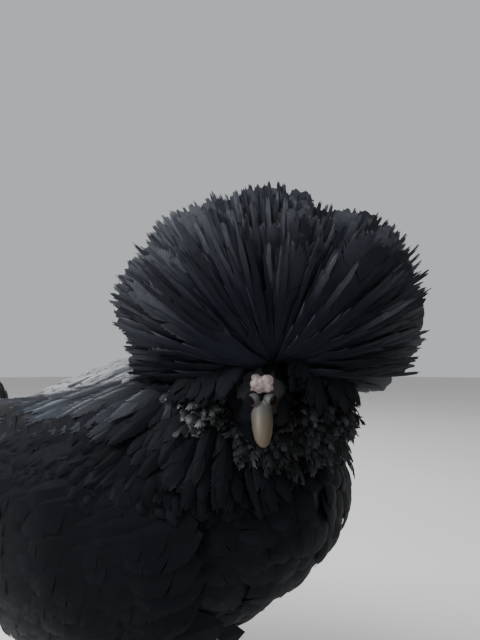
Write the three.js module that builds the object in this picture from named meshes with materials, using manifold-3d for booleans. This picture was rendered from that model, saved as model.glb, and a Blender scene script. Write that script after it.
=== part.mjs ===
// A black bearded crested hen, life size, standing, with her head turned to her right.
// Millimetres, +Z up. The hen faces -Y, so her left is +X. The floor is Z = 0.
import * as THREE from "three";
import { mergeVertices } from "three/addons/utils/BufferGeometryUtils.js";
import Module from "manifold-3d";

const wasm = await Module();
wasm.setup();

// Gap that neighbouring pieces keep.
const GAP = 0.3;
const LEFT = 1;
const RIGHT = -1;
const SIDES = { left: LEFT, right: RIGHT };
const DEG = Math.PI / 180;

// Torso, as sections from the breast to the root of the tail: y, half width, top and bottom height.
const TORSO = [
  [-120, 9, 194, 174],
  [-114, 30, 202, 155],
  [-98, 50, 210, 133],
  [-72, 65, 221, 112],
  [-40, 73, 231, 97],
  [0, 75, 230, 90],
  [40, 70, 225, 93],
  [80, 57, 216, 106],
  [115, 41, 208, 128],
  [143, 25, 202, 156],
  [151, 10, 194, 168],
];
const TORSO_SIDES = 22;

// Head: its centre, how far it turns to the right and how far it nods.
const HEAD_CENTRE = [-32, -92, 229.5];
const HEAD_TURN = 62 * DEG;
const HEAD_NOD = 20 * DEG;
// Head sections from the nape to the root of the bill: forward, half width, up, down.
const HEAD = [
  [-27, 7, 9, 7],
  [-23, 14, 15, 13],
  [-12, 18.5, 19.5, 18],
  [0, 18.5, 19.5, 18],
  [12, 15.5, 16, 15],
  [21, 11, 10.5, 10.5],
  [27, 7.6, 6.4, 7.2],
];
const EYE_RADIUS = 5.2;
const EYE_PLACE = [13.6, 9, 3];
const LID_RADIUS = 5.4;
const LID_THICKNESS = 1.3;

// Bill: length of the upper half past the head, root width and height.
const BILL_LENGTH = 18.5;
const BILL_HALF_WIDTH = 6;
const BILL_HEIGHT = 8;
const BILL_ROOT = [0, 25, -1];

// Crest: centre of the globe, its half sizes left, forward and up, and where its feathers are rooted.
const CREST_CENTRE = [-21, -91, 259];
const CREST_NOD = 6 * DEG;
const CREST_HALF = [72, 60, 57];

// Finishes, one for each kind of surface.
const mat = (name, colour, roughness, metalness = 0) =>
  new THREE.MeshStandardMaterial({ name, color: colour, roughness, metalness });
const BLACK_PLUMAGE = mat("black_plumage", 0x14151a, 0.5);
const HORN = mat("horn", 0xb9ab8c, 0.4);
const PALE_SKIN = mat("pale_skin", 0xcfa9a2, 0.55);
const FACE_SKIN = mat("face_skin", 0x8c3a36, 0.6);
const SLATE_SCALE = mat("slate_scale", 0x4a4f57, 0.55);
const CLAW_HORN = mat("claw_horn", 0x5b554d, 0.45);
const EYE_BAY = mat("eye_bay", 0x7a2f14, 0.1);

const vec = (x, y, z) => new THREE.Vector3(x, y, z);

// Turns an indexed mesh into a solid whose faces point out.
function solidOf(positions, index) {
  const make = (faces) =>
    new wasm.Manifold(
      new wasm.Mesh({
        numProp: 3,
        vertProperties: new Float32Array(positions),
        triVerts: new Uint32Array(faces),
      }),
    );
  const solid = make(index);
  if (solid.volume() > 0) return solid;
  return make(index.map((_, i) => index[i - (i % 3) + 2 - (i % 3)]));
}

// Skins a run of rings, each with the same number of points, and closes both ends.
function loft(rings) {
  const sides = rings[0].length;
  const positions = rings.flat().flatMap((p) => [p.x, p.y, p.z]);
  const index = [];
  for (let r = 0; r + 1 < rings.length; r += 1) {
    for (let s = 0; s < sides; s += 1) {
      const a = r * sides + s;
      const b = r * sides + ((s + 1) % sides);
      index.push(a, b, b + sides, a, b + sides, a + sides);
    }
  }
  const close = (first, turned) => {
    for (let s = 1; s + 1 < sides; s += 1) {
      const corner = [first, first + s, first + s + 1];
      index.push(...(turned ? corner.reverse() : corner));
    }
  };
  close(0, true);
  close((rings.length - 1) * sides, false);
  return solidOf(positions, index);
}

// A three.js geometry as a solid, moved by a matrix.
function solidFrom(geometry, matrix = new THREE.Matrix4()) {
  const bare = geometry.clone().applyMatrix4(matrix);
  bare.deleteAttribute("normal");
  bare.deleteAttribute("uv");
  const merged = mergeVertices(bare, 1e-3);
  return solidOf([...merged.attributes.position.array], [...merged.index.array]);
}

function ellipsoid(frame, centre, half, grow = 0, sides = 16, rings = 10) {
  const place = new THREE.Matrix4()
    .makeTranslation(...centre)
    .multiply(new THREE.Matrix4().makeScale(...half.map((h) => h + grow)));
  const ball = new THREE.SphereGeometry(1, sides, rings);
  return solidFrom(ball, frame.clone().multiply(place));
}

const join = (solids) => wasm.Manifold.union(solids);

// Takes the neighbours away and keeps the largest closed surface.
function fitted(solid, neighbours) {
  const cut = neighbours.length ? solid.subtract(join(neighbours)) : solid;
  const bodies = cut.decompose();
  return bodies.reduce((a, b) => (b.volume() > a.volume() ? b : a));
}

// Small repeatable random numbers from -1 to 1, so that like feathers differ a little.
function randomFrom(seed) {
  let state = seed;
  return () => {
    state = (Math.imul(state, 1664525) + 1013904223) >>> 0;
    return state / 2 ** 31 - 1;
  };
}

// Vane outlines: share of the length, share of the half width.
const BROAD_VANE = [
  [0, 0.24],
  [0.52, 0.96],
  [0.87, 0.86],
  [1, 0.3],
];
const NARROW_VANE = [
  [0, 0.3],
  [0.55, 1],
  [1, 0.16],
];
const CREST_VANE = [
  [0, 0.2],
  [0.42, 0.5],
  [0.78, 1],
  [1, 0.42],
];

// A feather: a thin strip along a line, with its face turned to a normal. Both are functions of the share
// of its length.
function vane({ line, normal, half, thick, shape = BROAD_VANE }, grow = 0) {
  const last = shape.length - 1;
  const rings = shape.map(([t, width], i) => {
    const at = line(t);
    const step = 0.02;
    const along = line(Math.min(t + step, 1)).sub(line(Math.max(t - step, 0))).normalize();
    const across = along.clone().cross(normal(t)).normalize();
    const up = across.clone().cross(along);
    const shift = i === last ? grow : 0;
    at.addScaledVector(along, shift);
    const w = half * width + grow;
    const h = thick / 2 + grow;
    return [
      [-w, -h],
      [w, -h],
      [w, h],
      [-w, h],
    ].map(([x, y]) => at.clone().addScaledVector(across, x).addScaledVector(up, y));
  });
  return loft(rings);
}

// A line from a root to a tip, bowed at its middle towards a side.
function bowed(root, tip, bow) {
  const middle = root.clone().add(tip).multiplyScalar(0.5).add(bow);
  const curve = new THREE.QuadraticBezierCurve3(root, middle, tip);
  return (t) => curve.getPoint(t);
}

// Smooth value of a table of rows [key, ...values] at a key.
function rowAt(table, key) {
  const last = table.length - 1;
  let i = table.findIndex((row) => row[0] > key) - 1;
  if (i < 0) i = key <= table[0][0] ? 0 : last - 1;
  const [a, b] = [table[i], table[i + 1]];
  const before = table[Math.max(i - 1, 0)];
  const after = table[Math.min(i + 2, last)];
  const t = Math.min(Math.max((key - a[0]) / (b[0] - a[0]), 0), 1);
  const slope = (p, q, c) => (q[0] === p[0] ? 0 : (q[c] - p[c]) / (q[0] - p[0]));
  return a.slice(1).map((_, n) => {
    const c = n + 1;
    const span = b[0] - a[0];
    const m0 = slope(before, b, c) * span;
    const m1 = slope(a, after, c) * span;
    const t2 = t * t;
    const t3 = t2 * t;
    return (
      (2 * t3 - 3 * t2 + 1) * a[c] + (t3 - 2 * t2 + t) * m0 + (3 * t2 - 2 * t3) * b[c] + (t3 - t2) * m1
    );
  });
}

// A point of the torso's surface: around is 0 at the back and 180 degrees at the belly.
function torsoPoint(y, around, lift = 0) {
  const [half, top, bottom] = rowAt(TORSO, y);
  const middle = bottom + (top - bottom) * 0.52;
  const rise = Math.cos(around) > 0 ? top - middle : middle - bottom;
  return vec((half + lift) * Math.sin(around), y, middle + (rise + lift) * Math.cos(around));
}

function ringAround(sides, point) {
  return Array.from({ length: sides }, (_, s) => point((s / sides) * 2 * Math.PI));
}

function torso(grow = 0) {
  const first = TORSO[0][0];
  const last = TORSO[TORSO.length - 1][0];
  const steps = 16;
  const rings = Array.from({ length: steps + 1 }, (_, i) => {
    const t = (1 - Math.cos((i / steps) * Math.PI)) / 2;
    const y = first + (last - first) * t;
    const shift = i === 0 ? -grow : i === steps ? grow : 0;
    return ringAround(TORSO_SIDES, (a) => torsoPoint(y, a, grow).add(vec(0, shift, 0)));
  });
  return loft(rings);
}

function frameOf(centre, turn, nod) {
  return new THREE.Matrix4()
    .makeTranslation(...centre)
    .multiply(new THREE.Matrix4().makeRotationZ(-turn))
    .multiply(new THREE.Matrix4().makeRotationX(nod));
}
const HEAD_FRAME = frameOf(HEAD_CENTRE, HEAD_TURN, HEAD_NOD);
const CREST_FRAME = frameOf(CREST_CENTRE, HEAD_TURN, CREST_NOD);
const BIRD_FRAME = new THREE.Matrix4();
// A place on the head, given as left, forward and up.
const onHead = (left, forward, up) => vec(left, -forward, up).applyMatrix4(HEAD_FRAME);

function skull(grow = 0) {
  const last = HEAD.length - 1;
  const rings = HEAD.map(([forward, half, up, down], i) => {
    const shift = i === 0 ? -grow : i === last ? grow : 0;
    return ringAround(14, (a) => {
      const rise = Math.cos(a) > 0 ? up : down;
      return onHead((half + grow) * Math.sin(a), forward + shift, (rise + grow) * Math.cos(a));
    });
  });
  return loft(rings);
}

function eyeball(side, grow = 0) {
  const [out, forward, up] = EYE_PLACE;
  const half = [EYE_RADIUS, EYE_RADIUS, EYE_RADIUS];
  return ellipsoid(HEAD_FRAME, [side * out, -forward, up], half, grow, 10, 6);
}

function lids(side, grow = 0) {
  const [out, forward, up] = EYE_PLACE;
  const ring = new THREE.TorusGeometry(LID_RADIUS, LID_THICKNESS + grow, 4, 10);
  const turned = new THREE.Matrix4().makeRotationY(Math.PI / 2);
  const placed = new THREE.Matrix4().makeTranslation(side * (out + 1.6), -forward, up);
  const slanted = new THREE.Matrix4().makeRotationZ(side * 14 * DEG);
  return solidFrom(ring, HEAD_FRAME.clone().multiply(placed).multiply(slanted).multiply(turned));
}

function head() {
  const whole = join([skull(), lids(LEFT), lids(RIGHT)]);
  return fitted(whole, [eyeball(LEFT, GAP), eyeball(RIGHT, GAP), torso(GAP)]);
}

// One half of the bill: a horn that bends down to its tip. Upper is true for the top half.
function bill(upper, grow = 0) {
  const [, rootForward, rootUp] = BILL_ROOT;
  const length = upper ? BILL_LENGTH : BILL_LENGTH - 3.5;
  const steps = 6;
  const rings = Array.from({ length: steps + 1 }, (_, i) => {
    const t = i / steps;
    const slim = Math.sqrt(1 - t ** 2.2 * 0.97);
    const drop = upper ? 9 * t ** 1.7 : 6.8 * t ** 1.7;
    const forward = rootForward - 2.5 + (length + 2.5) * t + (i === steps ? grow : 0);
    const half = (upper ? BILL_HALF_WIDTH : BILL_HALF_WIDTH - 0.8) * slim + grow;
    const rise = (upper ? BILL_HEIGHT * 0.6 : 0) * slim + grow;
    const fall = (upper ? 0 : 4.6) * slim + grow;
    const seam = rootUp - drop - (upper ? 0 : GAP);
    return ringAround(10, (a) => {
      const edge = Math.cos(a) > 0 ? rise : fall;
      return onHead(half * Math.sin(a), forward, seam + edge * Math.cos(a));
    });
  });
  return loft(rings);
}

// The upper half of the bill, with its high arched nostrils.
const NOSTRIL_PLACE = [3.1, 28, 2.3];

function upperBill(grow = 0) {
  const [out, forward, up] = NOSTRIL_PLACE;
  const arches = [LEFT, RIGHT].map((side) =>
    ellipsoid(HEAD_FRAME, [side * out, -forward, up], [2.7, 4.6, 2.6], grow, 8, 4),
  );
  const whole = join([bill(true, grow), ...arches]);
  if (grow > 0) return whole;
  const holes = [LEFT, RIGHT].map((side) =>
    ellipsoid(HEAD_FRAME, [side * (out + 1.9), -forward - 1.2, up + 0.4], [1.7, 2.6, 1.2], 0, 6, 4),
  );
  return whole.subtract(join(holes));
}

// The comb, two small bulbs behind the nostrils: where they sit, as out, forward and up.
const COMB_PLACE = [2.6, 26, 7.6];

function comb(grow = 0) {
  const [out, forward, up] = COMB_PLACE;
  const bulbs = [LEFT, RIGHT].map((side) =>
    ellipsoid(HEAD_FRAME, [side * out, -forward, up], [3.1, 3.8, 4.2], grow, 8, 5),
  );
  return join(bulbs);
}

const NECK_LINE = new THREE.CatmullRomCurve3([
  vec(2, -38, 186),
  vec(-3, -60, 212),
  vec(-14, -78, 226),
  vec(-26, -88, 231),
]);
const NECK_HALF = [46, 40, 28, 20];

function neckPoint(t, around, grow = 0) {
  const centre = NECK_LINE.getPoint(t);
  const along = NECK_LINE.getTangent(t);
  const across = vec(1, 0, 0).cross(along).normalize();
  const side = along.clone().cross(across).normalize();
  const place = t * (NECK_HALF.length - 1);
  const low = Math.min(Math.floor(place), NECK_HALF.length - 2);
  const half = THREE.MathUtils.lerp(NECK_HALF[low], NECK_HALF[low + 1], place - low) + grow;
  centre.addScaledVector(side, half * Math.sin(around));
  return centre.addScaledVector(across, -half * Math.cos(around));
}

// Hackle feathers in two tiers: where they leave the neck, how many, how far back they reach, their half
// width and how far they stand off the torso.
const HACKLES = [
  { from: 0.62, count: 7, back: -34, half: 10, lift: 6.5 },
  { from: 0.34, count: 8, back: -6, half: 11, lift: 3 },
];
const HACKLE_ARC = 128 * DEG;
const HACKLE_FRONT = -108;
// How far the hackles beside the throat turn their faces forward, and the height of the torso's axis.
const HACKLE_TURN = 80;
const TORSO_AXIS_HEIGHT = 165;
const HACKLE_BOW = 9;

function hackles(grow = 0) {
  const random = randomFrom(11);
  return HACKLES.flatMap(({ from, count, back, half, lift }) =>
    Array.from({ length: count }, (_, i) => {
      const around = (i / (count - 1) - 0.5) * 2 * HACKLE_ARC;
      const share = Math.abs(around) / HACKLE_ARC;
      const root = neckPoint(from, around, -6);
      const y = THREE.MathUtils.lerp(back, HACKLE_FRONT, share ** 1.3) + 4 * random();
      const tip = torsoPoint(y, around * 0.62 + 0.03 * random(), lift);
      const out = vec(tip.x, -HACKLE_TURN * share ** 2, tip.z - TORSO_AXIS_HEIGHT).normalize();
      const line = bowed(root, tip, out.clone().multiplyScalar(HACKLE_BOW));
      return vane({ line, normal: () => out, half, thick: 1.4, shape: NARROW_VANE }, grow);
    }),
  );
}

function neck(grow = 0) {
  const steps = 7;
  const core = loft(
    Array.from({ length: steps + 1 }, (_, i) => ringAround(18, (a) => neckPoint(i / steps, a, grow))),
  );
  return join([core, ...hackles(grow)]);
}

// The direction at an angle from the first towards the second.
function between(first, second, angle) {
  return first.clone().multiplyScalar(Math.cos(angle)).addScaledVector(second, Math.sin(angle));
}

// Feathers that spread from one knob and end on a globe. Each tier is a ring of tips: its angle from the
// globe's facing direction, how many, the arc that it covers, their half width and how much they bow towards
// that direction.
function globe({ frame, centre, half, root, core, facing, tiers, thick, shape, seed }, grow = 0) {
  const random = randomFrom(seed);
  const place = (v) => vec(centre[0] + v.x, -(centre[1] + v.y), centre[2] + v.z).applyMatrix4(frame);
  const knob = vec(...root);
  const front = vec(...facing).normalize();
  const upright = vec(0, 0, 1).addScaledVector(front, -front.z).normalize();
  const beside = front.clone().cross(upright);
  const centreAt = [centre[0] + knob.x, -(centre[1] + knob.y), centre[2] + knob.z];
  const pieces = [ellipsoid(frame, centreAt, core, grow, 12, 6)];
  for (const { angle, count, arc, width, bow } of tiers) {
    for (let i = 0; i < count; i += 1) {
      const turn = ((i + 0.5) / count - 0.5) * arc * DEG + 0.06 * random();
      const lean = (angle + 3 * random()) * DEG;
      const spoke = between(upright, beside, turn);
      const way = between(front, spoke, lean);
      const reach = 1 + 0.035 * random();
      const tip = vec(way.x * half[0], way.y * half[1], way.z * half[2]).multiplyScalar(reach);
      const start = knob.clone().addScaledVector(way, 0.35 * Math.min(...core));
      const towards = between(spoke.clone().negate(), front, lean);
      const facingOut = towards.clone().applyAxisAngle(way, 0.12 * random());
      const curve = bowed(start, tip, towards.clone().multiplyScalar(i % 2 ? bow : bow * 0.5));
      const face = place(facingOut).sub(place(vec(0, 0, 0))).normalize();
      const line = (t) => place(curve(t));
      pieces.push(vane({ line, normal: () => face, half: width, thick, shape }, grow));
    }
  }
  return join(pieces);
}

// Beard and muffs: the tufts under the bill and on the cheeks.
const BEARD = {
  frame: HEAD_FRAME,
  centre: [0, 12, -22],
  half: [21, 15, 21],
  root: [0, -2, 9],
  core: [12, 8, 10],
  facing: [0, 0.75, -0.65],
  tiers: [
    { angle: 24, count: 3, arc: 360, width: 5, bow: 1 },
    { angle: 62, count: 7, arc: 330, width: 5.5, bow: 4 },
  ],
  thick: 1.6,
  shape: NARROW_VANE,
  seed: 5,
};

function muffPlan(side) {
  return {
    frame: HEAD_FRAME,
    centre: [side * 22, 1, -12],
    half: [16, 20, 20],
    root: [side * -6, 2, 4],
    core: [9, 10, 10],
    facing: [side * 0.85, 0.3, -0.35],
    tiers: [
      { angle: 26, count: 3, arc: 360, width: 5, bow: 1 },
      { angle: 68, count: 7, arc: 360, width: 5.5, bow: 4 },
    ],
    thick: 1.6,
    shape: NARROW_VANE,
    seed: side === LEFT ? 21 : 22,
  };
}
const beard = (grow = 0) => globe(BEARD, grow);
const muff = (side, grow = 0) => globe(muffPlan(side), grow);

const CREST = {
  frame: CREST_FRAME,
  centre: [0, 0, 0],
  half: CREST_HALF,
  root: [0, 14, -14],
  core: [27, 24, 22],
  facing: [0, 0.96, 0.1],
  tiers: [
    { angle: 26, count: 4, arc: 250, width: 11, bow: 3 },
    { angle: 52, count: 6, arc: 260, width: 13.5, bow: 8 },
    { angle: 78, count: 9, arc: 280, width: 15, bow: 12 },
    { angle: 102, count: 10, arc: 295, width: 15.5, bow: 14 },
    { angle: 130, count: 8, arc: 320, width: 15.5, bow: 15 },
    { angle: 160, count: 4, arc: 360, width: 15.5, bow: 12 },
  ],
  thick: 1.2,
  shape: CREST_VANE,
  seed: 3,
};
const crest = () => globe(CREST);

// Folded wing: the surface that its feathers lie on, as half width at a place along the body.
const WING_SPREAD = [
  [-66, 58],
  [-40, 74],
  [0, 79],
  [40, 76],
  [80, 67],
  [120, 54],
  [160, 40],
];
const WING_MIDDLE = 168;
const WING_HALF_HEIGHT = 84;

function wingPoint(side, y, z, lift = 0) {
  const [spread] = rowAt(WING_SPREAD, y);
  const share = Math.min(Math.abs(z - WING_MIDDLE) / WING_HALF_HEIGHT, 0.95);
  return vec(side * (spread + lift) * Math.sqrt(1 - share ** 2.4), y, z);
}

// The outward direction of that surface.
function wingNormal(side, y, z) {
  const step = 1;
  const along = wingPoint(side, y + step, z).sub(wingPoint(side, y - step, z));
  const up = wingPoint(side, y, z + step).sub(wingPoint(side, y, z - step));
  const out = along.cross(up).normalize();
  return out.x * side > 0 ? out : out.negate();
}

// Tiers of the wing, each a run of feathers from the lowest to the highest. A place is [along the body,
// height], and lift is how far the tier stands off the wing's surface.
const WING_TIERS = [
  // Primaries, mostly under the secondaries.
  { count: 3, root: [[34, 152], [48, 170]], tip: [[146, 160], [163, 184]], half: 8, lift: 0.8 },
  // Secondaries.
  { count: 6, root: [[-14, 143], [6, 196]], tip: [[78, 130], [134, 194]], half: 10, lift: 3.6 },
  // Greater coverts.
  { count: 5, root: [[-42, 148], [-24, 198]], tip: [[26, 134], [62, 203]], half: 11.5, lift: 6.4 },
  // Median coverts.
  { count: 4, root: [[-58, 154], [-46, 196]], tip: [[-8, 141], [12, 200]], half: 13, lift: 9.2 },
  // Lesser coverts at the shoulder.
  { count: 3, root: [[-67, 162], [-62, 190]], tip: [[-34, 149], [-24, 197]], half: 14, lift: 12 },
];
const WING_VANE_TILT = 0.1;

function wingFeather(side, tier, i, random) {
  const share = tier.count > 1 ? i / (tier.count - 1) : 0;
  const within = ([low, high]) => low.map((v, n) => THREE.MathUtils.lerp(v, high[n], share));
  const from = within(tier.root);
  const to = within(tier.tip).map((v) => v + 1.5 * random());
  const place = (t) => from.map((v, n) => THREE.MathUtils.lerp(v, to[n], t));
  return {
    line: (t) => {
      const [y, z] = place(t);
      const lift = tier.lift * Math.min(1, 0.4 + t);
      return wingPoint(side, y, z).addScaledVector(wingNormal(side, y, z), lift);
    },
    normal: (t) => wingNormal(side, ...place(t)).add(vec(0, 0, WING_VANE_TILT)),
    half: tier.half,
    thick: 0.9,
  };
}

// The arm of the wing, a pad under its coverts that all its feathers grow from.
function wingArm(side) {
  const steps = 7;
  const rings = Array.from({ length: steps + 1 }, (_, i) => {
    const t = i / steps;
    const y = THREE.MathUtils.lerp(-66, 62, t);
    const half = 8 + 22 * Math.sqrt(Math.sin(Math.PI * (0.1 + 0.8 * t)));
    const middle = 175 - 5 * t;
    return ringAround(12, (a) => {
      const lift = Math.sin(a) > 0 ? 5 - 3 * t : -4;
      return wingPoint(side, y, middle + half * Math.cos(a), lift);
    });
  });
  return loft(rings);
}

function wing(side) {
  const random = randomFrom(side === LEFT ? 31 : 32);
  const feathers = WING_TIERS.flatMap((tier) =>
    Array.from({ length: tier.count }, (_, i) => vane(wingFeather(side, tier, i, random))),
  );
  return join([wingArm(side), ...feathers]);
}

// Tail: feathers on each side of a tent, from the lowest to the highest, and shorter coverts over their
// roots.
const TAIL_ROOT = [0, 143, 190];
const TAIL_TIERS = [
  { count: 5, low: 14, high: 50, length: [98, 122], half: 13, start: 0, out: 2.2 },
  { count: 2, low: 26, high: 50, length: [58, 68], half: 13, start: -6, out: 6 },
];

function tailFeather(side, tier, i, random) {
  const share = i / (tier.count - 1);
  const rise = THREE.MathUtils.lerp(tier.low, tier.high, share) * DEG;
  const splay = THREE.MathUtils.lerp(11, 3, share) * DEG;
  const length = THREE.MathUtils.lerp(...tier.length, share) + 3 * random();
  const [, rootY, rootZ] = TAIL_ROOT;
  const root = vec(side * (tier.out + 7 * (1 - share)), rootY + tier.start, rootZ - 6 + 18 * share);
  const way = vec(side * Math.sin(splay), Math.cos(rise), Math.sin(rise)).normalize();
  const tip = root.clone().addScaledVector(way, length);
  const tilt = THREE.MathUtils.lerp(6, 52, share) * DEG;
  const upward = vec(0, -Math.sin(rise), Math.cos(rise));
  const normal = between(vec(side, 0, 0), upward, tilt);
  const bow = normal.clone().multiplyScalar(5);
  return { line: bowed(root, tip, bow), normal: () => normal, half: tier.half, thick: 1.3 };
}

function tail() {
  const random = randomFrom(41);
  const base = ellipsoid(BIRD_FRAME, TAIL_ROOT, [15, 20, 17], 0, 14, 8);
  const feathers = [LEFT, RIGHT].flatMap((side) =>
    TAIL_TIERS.flatMap((tier) =>
      Array.from({ length: tier.count }, (_, i) => vane(tailFeather(side, tier, i, random))),
    ),
  );
  return join([base, ...feathers]);
}

// Legs.
const HIP = [40, -14, 130];
const HOCK = [43, 6, 82];
const ANKLE = [45, -7, 14];
// Thigh sections from the hip to the hock: share of the way, half width and half depth.
const THIGH = [
  [0, 28, 34],
  [0.25, 26, 29],
  [0.5, 22, 24],
  [0.75, 15.5, 17],
  [0.92, 10, 11],
  [1.04, 7.5, 8.5],
];

function tube(from, to, halves, sides, grow = 0) {
  const rings = halves.map(([t, across, along]) => {
    const centre = from.clone().lerp(to, t);
    return ringAround(sides, (a) =>
      centre.clone().add(vec((across + grow) * Math.sin(a), (along + grow) * Math.cos(a), 0)),
    );
  });
  return loft(rings);
}

function thigh(side, grow = 0) {
  const from = vec(side * HIP[0], HIP[1], HIP[2]);
  const to = vec(side * HOCK[0], HOCK[1], HOCK[2]);
  return tube(from, to, THIGH, 16, grow);
}

const SHANK_SCUTES = 7;
function shank(side, grow = 0) {
  const from = vec(side * HOCK[0], HOCK[1], HOCK[2] + 5);
  const to = vec(side * ANKLE[0], ANKLE[1], ANKLE[2] - 2);
  const halves = [];
  for (let i = 0; i < SHANK_SCUTES; i += 1) {
    const t = i / SHANK_SCUTES;
    const waist = 1 - 0.2 * Math.sin(Math.PI * t);
    halves.push([t, 6.2 * waist, 6.8 * waist]);
    halves.push([t + 0.92 / SHANK_SCUTES, 6.8 * waist, 7.6 * waist]);
  }
  halves.push([1, 6.2, 6.8]);
  return tube(from, to, halves, 8, grow);
}

// Toes: angle from straight ahead, length and half width.
const TOES = [
  { name: "inner", angle: -26, length: 43, half: 4.6 },
  { name: "middle", angle: 2, length: 58, half: 5 },
  { name: "outer", angle: 32, length: 47, half: 4.6 },
  { name: "hind", angle: 172, length: 25, half: 4 },
];
const TOE_HEIGHT = 9.5;
const TOE_SCUTES = 3;

// Where a toe is at a share of its length, and its height there.
function toeAt(side, toe, t) {
  const angle = toe.angle * DEG;
  const way = vec(side * Math.sin(angle), -Math.cos(angle), 0);
  const at = vec(side * ANKLE[0], ANKLE[1], 0).addScaledVector(way, toe.length * t);
  return { at, way, high: TOE_HEIGHT * (1 - 0.35 * t), half: toe.half * (1 - 0.22 * t) };
}

function toeSolid(side, toe) {
  const rings = [];
  for (let i = 0; i <= TOE_SCUTES * 2; i += 1) {
    const t = i / (TOE_SCUTES * 2);
    const bump = i % 2 ? 1.06 : 0.92;
    const { at, way, high, half } = toeAt(side, toe, t);
    const across = vec(-way.y, way.x, 0);
    const outline = [
      [-0.75, 0],
      [0.75, 0],
      [1, 0.45],
      [0.55, 1],
      [-0.55, 1],
      [-1, 0.45],
    ];
    const corner = ([w, h]) => at.clone().addScaledVector(across, w * half * bump).setZ(h * high * bump);
    rings.push(outline.map(corner));
  }
  return loft(rings);
}

function footPad(side, grow = 0) {
  return ellipsoid(BIRD_FRAME, [side * ANKLE[0], ANKLE[1], 6], [8.5, 9, 9], grow, 12, 8);
}

function foot(side) {
  const toes = TOES.map((toe) => toeSolid(side, toe));
  return join([...toes, footPad(side)]).trimByPlane([0, 0, 1], 0);
}

function footGrown(side) {
  const toes = TOES.map((toe) => toeSolid(side, { ...toe, length: toe.length + GAP }));
  return join([...toes, footPad(side, GAP)]);
}

function claw(side, toe) {
  const { at, way, high, half } = toeAt(side, toe, 1);
  const across = vec(-way.y, way.x, 0);
  const start = at.clone().addScaledVector(way, GAP);
  const steps = 3;
  const rings = Array.from({ length: steps + 1 }, (_, i) => {
    const t = i / steps;
    const size = 1 - 0.88 * t;
    const middle = start.clone().addScaledVector(way, 11 * t);
    middle.z = high * (0.62 - 0.5 * t * t);
    return ringAround(6, (a) =>
      middle
        .clone()
        .addScaledVector(across, half * 0.62 * size * Math.sin(a))
        .add(vec(0, 0, high * 0.34 * size * Math.cos(a))),
    );
  });
  return loft(rings).trimByPlane([0, 0, 1], 0.2);
}

const bird = new THREE.Group();

function addPart(name, solid, material) {
  const mesh = solid.getMesh();
  const geometry = new THREE.BufferGeometry();
  geometry.setAttribute("position", new THREE.BufferAttribute(mesh.vertProperties, 3));
  geometry.setIndex(new THREE.BufferAttribute(mesh.triVerts, 1));
  geometry.computeVertexNormals();
  const part = new THREE.Mesh(geometry, material);
  part.name = name;
  bird.add(part);
}

const torsoGap = torso(GAP);
const skullGap = skull(GAP);
const neckGap = neck(GAP);
const beardGap = beard(GAP);
const muffGap = { left: muff(LEFT, GAP), right: muff(RIGHT, GAP) };
const upperBillGap = upperBill(GAP);

addPart("torso", torso(), BLACK_PLUMAGE);
addPart("neck", fitted(neck(), [torsoGap, skullGap]), BLACK_PLUMAGE);
addPart("head", head(), FACE_SKIN);
addPart("bill_upper", fitted(upperBill(), [skullGap]), HORN);
addPart("bill_lower", fitted(bill(false), [skullGap, upperBillGap]), HORN);
addPart("comb", fitted(comb(), [skullGap, upperBillGap]), PALE_SKIN);
const headGaps = [skullGap, upperBillGap, bill(false, GAP), comb(GAP)];
for (const side of Object.values(SIDES)) {
  headGaps.push(eyeball(side, GAP), lids(side, GAP));
}
addPart("beard", fitted(beard(), [...headGaps, neckGap, torsoGap]), BLACK_PLUMAGE);
for (const [name, side] of Object.entries(SIDES)) {
  addPart(`eye_${name}`, eyeball(side), EYE_BAY);
  const around = [...headGaps, beardGap, neckGap, torsoGap];
  addPart(`muff_${name}`, fitted(muff(side), around), BLACK_PLUMAGE);
}
const belowCrest = [...headGaps, beardGap, muffGap.left, muffGap.right, neckGap, torsoGap];
addPart("crest", fitted(crest(), belowCrest), BLACK_PLUMAGE);
addPart("tail", fitted(tail(), [torsoGap]), BLACK_PLUMAGE);
for (const [name, side] of Object.entries(SIDES)) {
  addPart(`wing_${name}`, fitted(wing(side), [torsoGap, neckGap]), BLACK_PLUMAGE);
  addPart(`thigh_${name}`, fitted(thigh(side), [torsoGap]), BLACK_PLUMAGE);
  addPart(`shank_${name}`, fitted(shank(side), [thigh(side, GAP), footGrown(side)]), SLATE_SCALE);
  addPart(`foot_${name}`, fitted(foot(side), []), SLATE_SCALE);
  for (const toe of TOES) {
    addPart(`claw_${toe.name}_${name}`, claw(side, toe), CLAW_HORN);
  }
}

// The origin is the bottom centre of the whole bird.
const extent = new THREE.Box3().setFromObject(bird);
const middle = extent.getCenter(new THREE.Vector3());
bird.position.set(-middle.x, -middle.y, -extent.min.z);

export default bird;
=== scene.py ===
# %% [markdown]
# ## A crested hen, feather by feather
# This lesson dresses a life-size solid model of a black bearded crested hen. The solids are fixed: they
# give the place and size of every part. The looks are made here: one skin, some thousands of feathers
# that are each a small mesh, a horn bill, scaled legs and glass-like eyes. All sizes of the bird are
# millimetres until a mesh is made, because a bird is easier to think about in millimetres than in
# metres. The floor, the lamps and the heights of bumps in the finishes are metres.

import math

import bpy
import numpy as np
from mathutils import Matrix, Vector
from mathutils.bvhtree import BVHTree


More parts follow.
